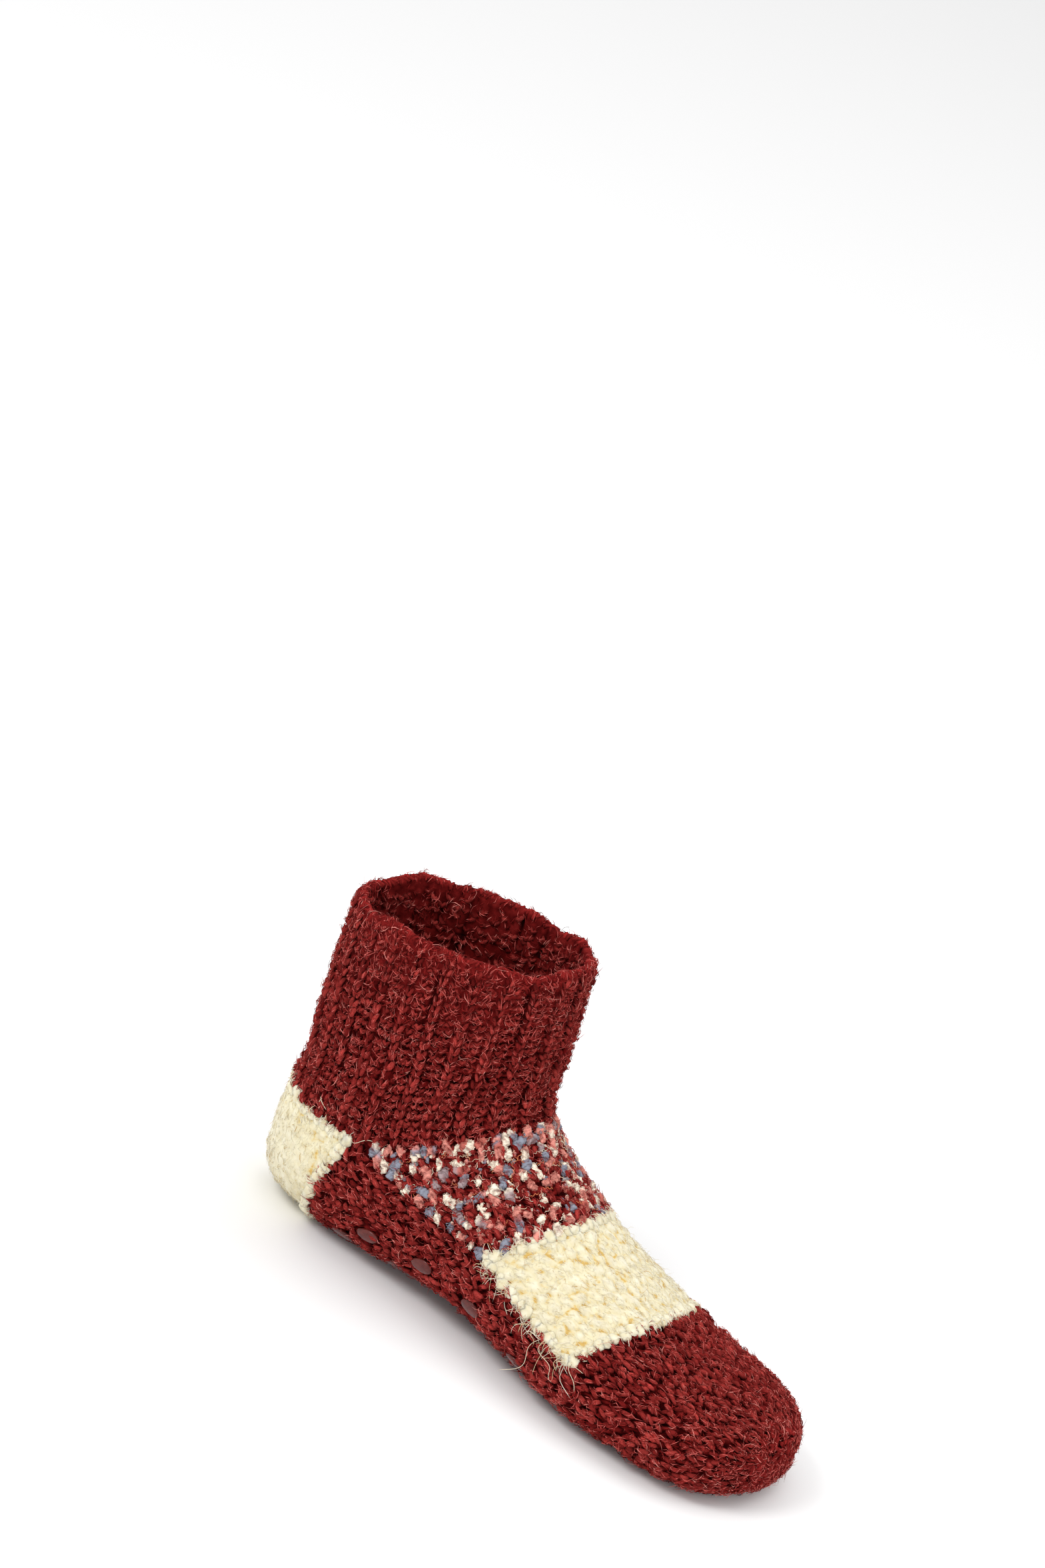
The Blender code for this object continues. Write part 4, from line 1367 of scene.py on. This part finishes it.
def inside_arcs():
    """Arcs of purl on the inside of the leg, which face the opening and thin out downwards."""
    pick = np.random.default_rng(132)
    wale, course = np.meshgrid(np.arange(LEG_WALES) + 0.5 - LEG_WALES // 2,
                               np.arange(1.0, 18, 1.0))
    stays = pick.random(wale.shape) > ramp(7, 18, course)
    wale, course = wale[stays], course[stays]
    wale = wale + pick.normal(0, 0.12, wale.size)
    course = course + 0.5 * (np.floor(wale) % 2) + pick.normal(0, 0.16, wale.size)
    across = 1.1
    paths, radii, _, tints = stitch_arcs(
        leg_place, no_swell, wale, course, across, pick.normal(0, 0.35, len(wale)), 0.22,
        1.0 * MM, 0.9 * MM, 133)
    wales = wale[:, None] + across * (np.linspace(0, 1, ARC_PLACES)[None, :] - 0.5)
    bare, normals = on_skin(*leg_place(wales, course[:, None] + 0 * wales))
    deep = -2 * RIM_RADIUS - 2 * ((paths - bare) * normals).sum(-1)
    return paths + normals * deep[..., None], radii, -normals[:, 2], tints * 0.8


def foot_stitches():
    """Arcs of the foot: V stitches all round, but for the bands, the heel and the very tip."""
    wale, course = np.meshgrid(np.arange(FOOT_WALES) - FOOT_WALES // 2,
                               np.arange(2.6, 56, 1.0))
    wale, course = wale.ravel() + 0.5, course.ravel()
    row, turn = foot_place(wale, course)
    girth = np.abs(turn)
    red_foot = ((girth > SIDE_GIRTH + 0.006) & (row > foot_start(girth) + 0.04)) | (
        row > cream_end(girth) + 0.06)
    ground = (girth < SIDE_GIRTH) & (row > speckled_top(girth)) & (
        row < cream_top(girth) - 0.05)
    half = half_girth(row)
    keep = (red_foot | ground) & (half / (FOOT_WALES / 2) > 1.9 * MM)
    keep &= clear_of_grips(on_skin(row, turn)[0], 1.3 * MM)
    wale, course = wale[keep], course[keep]
    wide = np.minimum(half[keep] / (FOOT_WALES / 2 * WALE_WIDTH), 1)
    made = []
    for seed, arm in ((111, -1), (112, 1)):
        turned = arm * np.random.default_rng(seed).normal(0.40, 0.30, len(wale))
        made.append(stitch_arcs(foot_place, no_swell, wale + arm * 0.25, course, turned, 1.25,
                                0, 1.25 * MM * wide, 0.98 * MM * wide, seed))
    return made + [tip_arcs()]


def tip_arcs():
    """Arcs of yarn at the toe tip, where the wales close up: each lies at a random heading."""
    pick = np.random.default_rng(121)
    count = 230
    _, turn = foot_place(pick.uniform(-FOOT_WALES / 2, FOOT_WALES / 2, count), np.zeros(count))
    course = 0.25 + 3.9 * pick.random(count) ** 0.6
    row, _ = foot_place(turn * FOOT_WALES / 2, course)
    spot, normal, ahead, around = frame_at(row, turn)
    angle = pick.uniform(0, 2 * pi, (count, 1))
    heading = np.cos(angle) * ahead + np.sin(angle) * around
    t = np.linspace(0, 1, ARC_PLACES)[None, :, None]
    arch = np.sin(pi * t)
    out = 1.15 * MM * arch ** 0.8 - 0.65 * MM
    paths = spot[:, None] + heading[:, None] * (t - 0.5) * 5.2 * MM + normal[:, None] * out
    # Painted shade: darker towards both ends, where the arc dives into the knit.
    tints = ARC_RED * (0.28 + 0.72 * arch ** 0.7) * pick.uniform(0.75, 1.2, (count, 1, 1))
    radii = 0.9 * MM * (0.62 + 0.38 * arch[:, 1:-1, 0]) * np.ones((count, 1))
    return paths, radii, normal, tints


leg_arcs, foot_arcs = leg_stitches(), foot_stitches()
add_threads("leg_stitch_yarn", leg_arcs, 5, RED_YARN, "red_knit")
add_threads("foot_stitch_yarn", foot_arcs, 5, RED_YARN, "red_knit")


# Crinkled threads and loose ends


def crinkled_threads():
    """The fine crinkled threads that wander over the nubs."""
    count = 240
    path, upward = thread_paths(
        *over_band(count, 0.02), random.uniform(0, 2 * pi, count),
        random.uniform(3.0, 6.5, count) * MM, random.normal(0, 1.0, count) * MM,
        random.uniform(0.25, 0.45, count) * MM, random.uniform(2, 3.5, count),
        random.uniform(0.2, 0.7, count) * MM, 15)
    path += upward[:, None] * 0.5 * MM
    colours = (srgb(252, 238, 212), srgb(232, 140, 92), srgb(222, 134, 118), srgb(244, 210, 176))
    return (path, random.uniform(0.10, 0.16, count) * MM, upward,
            drawn(random, colours, [0.42, 0.22, 0.18, 0.18], count))


add_threads("crinkled_threads", [crinkled_threads()], 3, CREAM_HAIR, "speckled_yarn")


def fringe(row, turn, out, spread, count, longest, seed):
    """Loose curling hairs of cream yarn that start at given places and spread about a heading."""
    pick = np.random.default_rng(seed)
    which = pick.integers(0, len(row), count)
    heading = out + pick.normal(0, spread, count)
    length = pick.uniform(0.25, 1.0, count) ** 1.6 * longest * MM
    path, upward = thread_paths(row[which], turn[which], heading, length,
                                pick.normal(0, 0.45, count) * length,
                                pick.uniform(0.02, 0.10, count) * length,
                                pick.uniform(0.5, 1.6, count),
                                pick.uniform(0.5, 2.2, count) * MM, 9)
    pale = (srgb(254, 246, 224), srgb(244, 222, 176), srgb(246, 210, 184))
    return (path, pick.uniform(0.09, 0.15, count) * MM, upward,
            drawn(pick, pale, [0.6, 0.25, 0.15], count))


# Long loose curls, on each side: row, girth share, heading away from ahead, then length, sideways
# bow and zigzag in millimetres, and waves
CURLS = (
    (9.55, 0.460, 1.90, 7.0, 2.5, 0.4, 0.7), (9.75, 0.460, 1.20, 9.0, -2.0, 0.5, 0.6),
    (10.15, 0.465, 1.30, 20.0, 9.0, 2.5, 1.1), (10.20, 0.470, 0.90, 15.0, -8.0, 2.0, 1.3),
    (10.72, 0.450, 0.45, 12.0, 1.5, 0.6, 1.0), (10.70, 0.440, 0.20, 8.0, -1.0, 0.4, 0.8),
    (8.75, 0.465, 1.90, 5.0, 1.0, 0.3, 0.7), (4.60, 0.530, -1.30, 10.0, -4.0, 1.2, 1.0),
    (3.90, 0.660, 3.00, 6.0, 2.0, 0.3, 0.5), (3.95, 0.630, 2.50, 6.0, -2.0, 0.3, 0.5),
    (5.30, 0.640, 0.20, 6.0, 2.0, 0.4, 0.6),
)


def curls():
    """The long loose curls of both sides."""
    row, girth, heading, length, bow, zigzag, waves = np.array(CURLS).T
    made = []
    for side in (1, -1):
        path, upward = thread_paths(row, side * girth, side * heading, length * MM,
                                    side * bow * MM, side * zigzag * MM, waves,
                                    np.full(len(row), 1.6 * MM), 15)
        pale = np.broadcast_to(srgb(250, 238, 208), (len(row), 4))
        made.append((path, np.full(len(row), 0.14 * MM), upward, pale))
    return made


def fringes():
    """Hairs round the cream band and the heel, most of them at the band's lower corners."""
    groups = [fringe(*curve_edge(rows_of, start, end, 1.0 * MM), out, 0.9, count, longest, seed)
              for rows_of, start, end, out, count, longest, seed in (
                  (cream_top, 0.0, SIDE_GIRTH, pi, 170, 7, 1),
                  (cream_end, 0.0, SIDE_GIRTH, 0.0, 110, 6, 2),
                  (leg_end, APEX_GIRTH, 0.99, pi, 130, 5, 31),
                  (foot_start, APEX_GIRTH, 0.99, 0.0, 130, 5, 32))]
    for side in (1, -1):
        row, turn = side_edge(side, 0.8 * MM, 8 + side)
        lower = row > CREAM_TOP[1] + 0.55
        out = side * pi / 2
        groups += [fringe(row, turn, out, 0.8, 120, 8, 12 + side),
                   fringe(row[lower], turn[lower], out, 0.9, 26, 15, 22 + side)]
    return groups


add_threads("cream_loose_ends", fringes() + curls(), 3, CREAM_HAIR, "cream_boucle")


# Hair of the red wool and the cream yarn


def scatter(surface, count, weight, seed):
    """Random places on a surface and its normals there, weighted by area and a weight."""
    pick = np.random.default_rng(seed)
    a, b, c, normal = corners(surface.points, surface.triangles)
    chance = np.linalg.norm(normal, axis=1) * weight
    which = pick.choice(len(chance), count, p=chance / chance.sum())
    u, v = pick.uniform(0, 1, (2, count, 1))
    fold = u + v > 1
    u, v = np.where(fold, 1 - u, u), np.where(fold, 1 - v, v)
    place = a[which] + (b[which] - a[which]) * u + (c[which] - a[which]) * v
    return place, unit(normal[which])


def hair(place, normal, grain, look, seed):
    """Fine hairs at given places and normals, most of them along the grain.

    A hair runs its length across its place, bows sideways and arches up by its lift, with both
    ends in the yarn. The standing share of them leans out of it instead.
    """
    shades, chances, length, lift, thickness, standing, places = look
    free = clear_of_grips(place, 1.0 * MM)
    place, normal = place[free], normal[free]
    grain = grain[free] if grain.ndim == 2 else grain
    pick = np.random.default_rng(seed)
    count = len(place)
    ahead = unit(grain - normal * (normal * grain).sum(-1, keepdims=True))
    angle = np.where(pick.random(count) < 0.7, pick.normal(0, 0.45, count),
                     pick.uniform(0, 2 * pi, count))[:, None]
    forward = np.cos(angle) * ahead + np.sin(angle) * np.cross(normal, ahead)
    sideways = np.cross(normal, forward)
    t = np.linspace(0, 1, places)[None, :, None]
    reach = (pick.uniform(0.35, 1.0, count) * length)[:, None, None]
    bow = pick.normal(0, 0.25, count)[:, None, None] * reach
    height = (pick.uniform(0.3, 1.0, count) * lift)[:, None, None]
    stands = (pick.random(count) < standing)[:, None, None]
    lying = height * np.sin(pi * t) - 0.25 * MM * np.abs(2 * t - 1)
    rising = reach * (0.50 * t - 0.10)
    path = (place[:, None] + forward[:, None] * reach * (t - 0.5 + 0.2 * stands)
            + sideways[:, None] * bow * (4 * t * (1 - t) - 0.5 + t * t)
            + normal[:, None] * np.where(stands, rising, lying))
    radii = pick.uniform(0.6, 1.3, count) * thickness * np.where(stands[:, 0, 0], 0.7, 1.0)
    return path, radii, normal, drawn(pick, shades, chances, count)


def on_yarn(arcs, count, seed):
    """Random places on the outer side of yarn arcs, their upward directions and their run.

    The middles of the arcs get more of them than their ends and the grooves, which are darker with
    painted shade.
    """
    pick = np.random.default_rng(seed)
    paths, radii, upward, tints = joined(arcs, 0, 1, 2, 3)
    shade = tints[:, 1:-1, 0] ** 0.8
    chosen = pick.choice(shade.size, count, p=shade.ravel() / shade.sum())
    which, part = chosen // (ARC_PLACES - 2), chosen % (ARC_PLACES - 2) + 1
    share = pick.random((count, 1))
    place = paths[which, part] * (1 - share) + paths[which, part + 1] * share
    run = unit(paths[which, part + 1] - paths[which, part])
    sideways = np.cross(upward[which], run)
    off = pick.uniform(-0.8, 0.8, (count, 1))
    rise = sideways * off + upward[which] * np.sqrt(1 - off ** 2)
    return place + radii[which, part - 1][:, None] * rise, upward[which], run


RED_SHADES = [srgb(88, 10, 11), srgb(154, 42, 39), srgb(218, 106, 99), srgb(232, 146, 135)]
CREAM_SHADES = [srgb(253, 248, 226), srgb(244, 228, 182), srgb(226, 184, 104)]
# Kinds of hair: shades and how many have each, length, lift, thickness, share that stands, places
RED_FUZZ = (RED_SHADES, [0.18, 0.43, 0.34, 0.05], 4.6 * MM, 0.8 * MM, 0.17 * MM, 0.20, 3)
RED_LONG = (RED_SHADES, [0.14, 0.42, 0.38, 0.06], 7.0 * MM, 1.2 * MM, 0.13 * MM, 0.16, 4)
CREAM_FUZZ = (CREAM_SHADES, [0.80, 0.17, 0.03], 3.2 * MM, 0.5 * MM, 0.10 * MM, 0.25, 3)
CREAM_LONG = (CREAM_SHADES, [0.70, 0.24, 0.06], 6.0 * MM, 0.8 * MM, 0.09 * MM, 0.30, 4)
NUB_FUZZ = (CREAM_SHADES, [0.80, 0.17, 0.03], 2.2 * MM, 0.6 * MM, 0.24 * MM, 0.55, 3)
DOWN, TOEWARD = np.array([0.1, 0.0, -1.0]), np.array([1.0, 0.0, -0.2])


def add_red_hair():
    """Hair of the leg, more of it by the rim and less in the grooves, then of the foot."""
    row, turn = (values[red.triangles[:, 0]] for values in (red.row, red.turn))
    girth = np.abs(turn)
    on_leg = row < leg_end(girth) - 0.001
    groove = groove_at(turn * LEG_WALES / 2, 0 * row)
    for name, arcs, weight, grain, seed in (
            ("leg_hair", leg_arcs, on_leg * (1 + (row < 1.2)) * (1 - 0.9 * groove), DOWN, 50),
            ("foot_hair", foot_arcs, ~on_leg * np.where(girth > 0.8, 0.3, 1.0), TOEWARD, 60)):
        add_threads(name, [
            hair(*scatter(red, 2000, weight, seed), grain, RED_FUZZ, seed + 1),
            hair(*on_yarn(arcs, 14600, seed + 2), RED_FUZZ, seed + 3),
            hair(*scatter(red, 1200, weight, seed + 4), grain, RED_LONG, seed + 5),
            hair(*on_yarn(arcs, 4300, seed + 6), RED_LONG, seed + 7)], 3, RED_HAIR, "red_knit")


def add_cream_hair():
    """Hair of the cream band and the heel."""
    groups = []
    for seed, (surface, grain) in enumerate(((cream, TOEWARD), (heel, DOWN)), 80):
        even = np.ones(len(surface.triangles))
        groups += [hair(*scatter(surface, 2300, even, seed), grain, CREAM_FUZZ, seed + 2),
                   hair(*scatter(surface, 800, even, seed + 4), grain, CREAM_LONG, seed + 6)]
    add_threads("cream_hair", groups, 3, CREAM_HAIR, "cream_boucle")


def add_nub_fuzz(points, triangles, tints):
    """Fuzz of the nubs, each hair in the colour of its nub."""
    pick = np.random.default_rng(90)
    a, b, c, normal = corners(points, triangles)
    which = pick.choice(len(triangles), 4800)
    path, radii, upward, _ = hair(((a + b + c) / 3)[which], unit(normal[which]),
                                  unit(pick.normal(size=(len(which), 3))), NUB_FUZZ, 91)
    add_threads("nub_fuzz", [(path, radii, upward, tints[triangles[which, 0]])], 3, CREAM_HAIR,
                "speckled_yarn")


add_red_hair()
add_cream_hair()
add_nub_fuzz(*nubs)


# The grips


# Rings of a grip's dome, from its middle: share of the way out, height as a share of its own
GRIP_RINGS = ((0.0, 1.0), (0.35, 0.98), (0.62, 0.92), (0.82, 0.78), (0.94, 0.56), (1.0, 0.28),
              (1.0, -0.5), (0.6, -0.5), (0.0, -0.5))


def grip_domes():
    """Points and triangles of the grips: low oval domes that follow the sole, closed below.

    The height falls from the middle to the rim as a fourth power, then the side turns down into
    the knit.
    """
    small = 0.02
    row, turn = GRIPS[:, 0, None, None], GRIPS[:, 1, None, None]
    ahead = np.linalg.norm(toeward_step(row, turn, small), axis=-1) / (2 * small)
    around = np.linalg.norm(on_skin(row, turn - small)[0] - on_skin(row, turn)[0], axis=-1) / small
    share, height = np.array(GRIP_RINGS).T[:, None, :, None]
    angle = np.linspace(0, 2 * pi, 21)[None, None, :]
    points, normals = on_skin(row + share * np.cos(angle) * GRIP_LENGTH / 2 / ahead,
                              turn + share * np.sin(angle) * GRIP_WIDTH / 2 / around)
    points = points + normals * (GAP + GRIP_THICKNESS * height)[..., None]
    rings, sides = points.shape[1:3]
    starts = np.arange(len(GRIPS)) * rings * sides
    triangles = grid_triangles((rings, sides)) + starts[:, None, None]
    points = press(points).reshape(-1, 3)
    kept, triangles = weld(points, triangles.reshape(-1, 3))
    return points[kept], triangles


add_piece("grip_ovals", *grip_domes(), SILICONE, "clear_silicone",
          replaces=[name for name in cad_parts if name.startswith("grip_")])


# Floor, lights and camera


def add_floor():
    """Pale seamless floor."""
    reach, height = 9.0, -0.5 * MM
    mesh = bpy.data.meshes.new("floor")
    mesh.from_pydata([(x * reach, y * reach, height)
                      for x, y in ((-1, -1), (1, -1), (1, 1), (-1, 1))], [], [(0, 1, 2, 3)])
    made, _, shader = plain_finish("pale_floor", 0.75)
    shader.inputs["Base Color"].default_value = (0.93, 0.93, 0.93, 1.0)
    mesh.materials.append(made)
    link("floor", mesh)


def add_light(name, place, target, size, power):
    """Square soft light that faces a target."""
    lamp = bpy.data.lights.new(name, "AREA")
    lamp.size = size
    lamp.energy = power
    made = link(name, lamp)
    made.location = place
    made.rotation_euler = (Vector(target) - Vector(place)).to_track_quat("-Z", "Y").to_euler()


def add_camera():
    """Camera at the photo's angle to the sock, rolled, with the sock where the photo has it.

    The line from the sock to the camera has the given azimuth and elevation. The camera then
    turns off that line until the sock's middle falls on its pixel.
    """
    data = bpy.data.cameras.new("camera")
    data.lens = CAMERA_LENS
    data.sensor_width = SENSOR_WIDTH
    data.clip_end = 60.0
    made = link("camera", data)
    middle = (cad_box[0] + cad_box[1]) / 2
    azimuth, elevation = radians(CAMERA_AZIMUTH), radians(CAMERA_ELEVATION)
    back = Vector((sin(azimuth) * cos(elevation), -cos(azimuth) * cos(elevation),
                   sin(elevation)))
    distance = PHOTO_HEIGHT / PIXELS_PER_METRE * CAMERA_LENS / SENSOR_WIDTH
    per_pixel = SENSOR_WIDTH / PHOTO_HEIGHT / CAMERA_LENS
    sideways = (SOCK_PIXEL[0] - PHOTO_WIDTH / 2) * per_pixel
    downward = (SOCK_PIXEL[1] - PHOTO_HEIGHT / 2) * per_pixel
    look = (-back).to_track_quat("-Z", "Y").to_matrix()
    roll = Matrix.Rotation(radians(CAMERA_ROLL), 3, "Z")
    tilt = Matrix.Rotation(atan(downward), 3, "X") @ Matrix.Rotation(atan(sideways), 3, "Y")
    made.rotation_euler = (look @ roll @ tilt).to_euler()
    made.location = middle + back * distance
    bpy.context.scene.camera = made


def add_studio():
    """White surroundings and soft lights."""
    world = bpy.data.worlds.new("studio")
    world.use_nodes = True
    surroundings = world.node_tree.nodes["Background"].inputs
    surroundings["Color"].default_value = WHITE
    surroundings["Strength"].default_value = 0.80
    bpy.context.scene.world = world
    add_light("key", (-0.8, -1.5, 1.7), (0, 0, 0.05), 0.9, 21.0)
    add_light("fill", (1.6, -1.2, 0.9), (0, 0, 0.05), 1.2, 8.0)
    add_light("overhead", (0.2, 0.9, 2.6), (0, 0.4, 0), 2.4, 22.0)
    bpy.context.scene.view_settings.view_transform = "Standard"


add_floor()
add_studio()
add_camera()
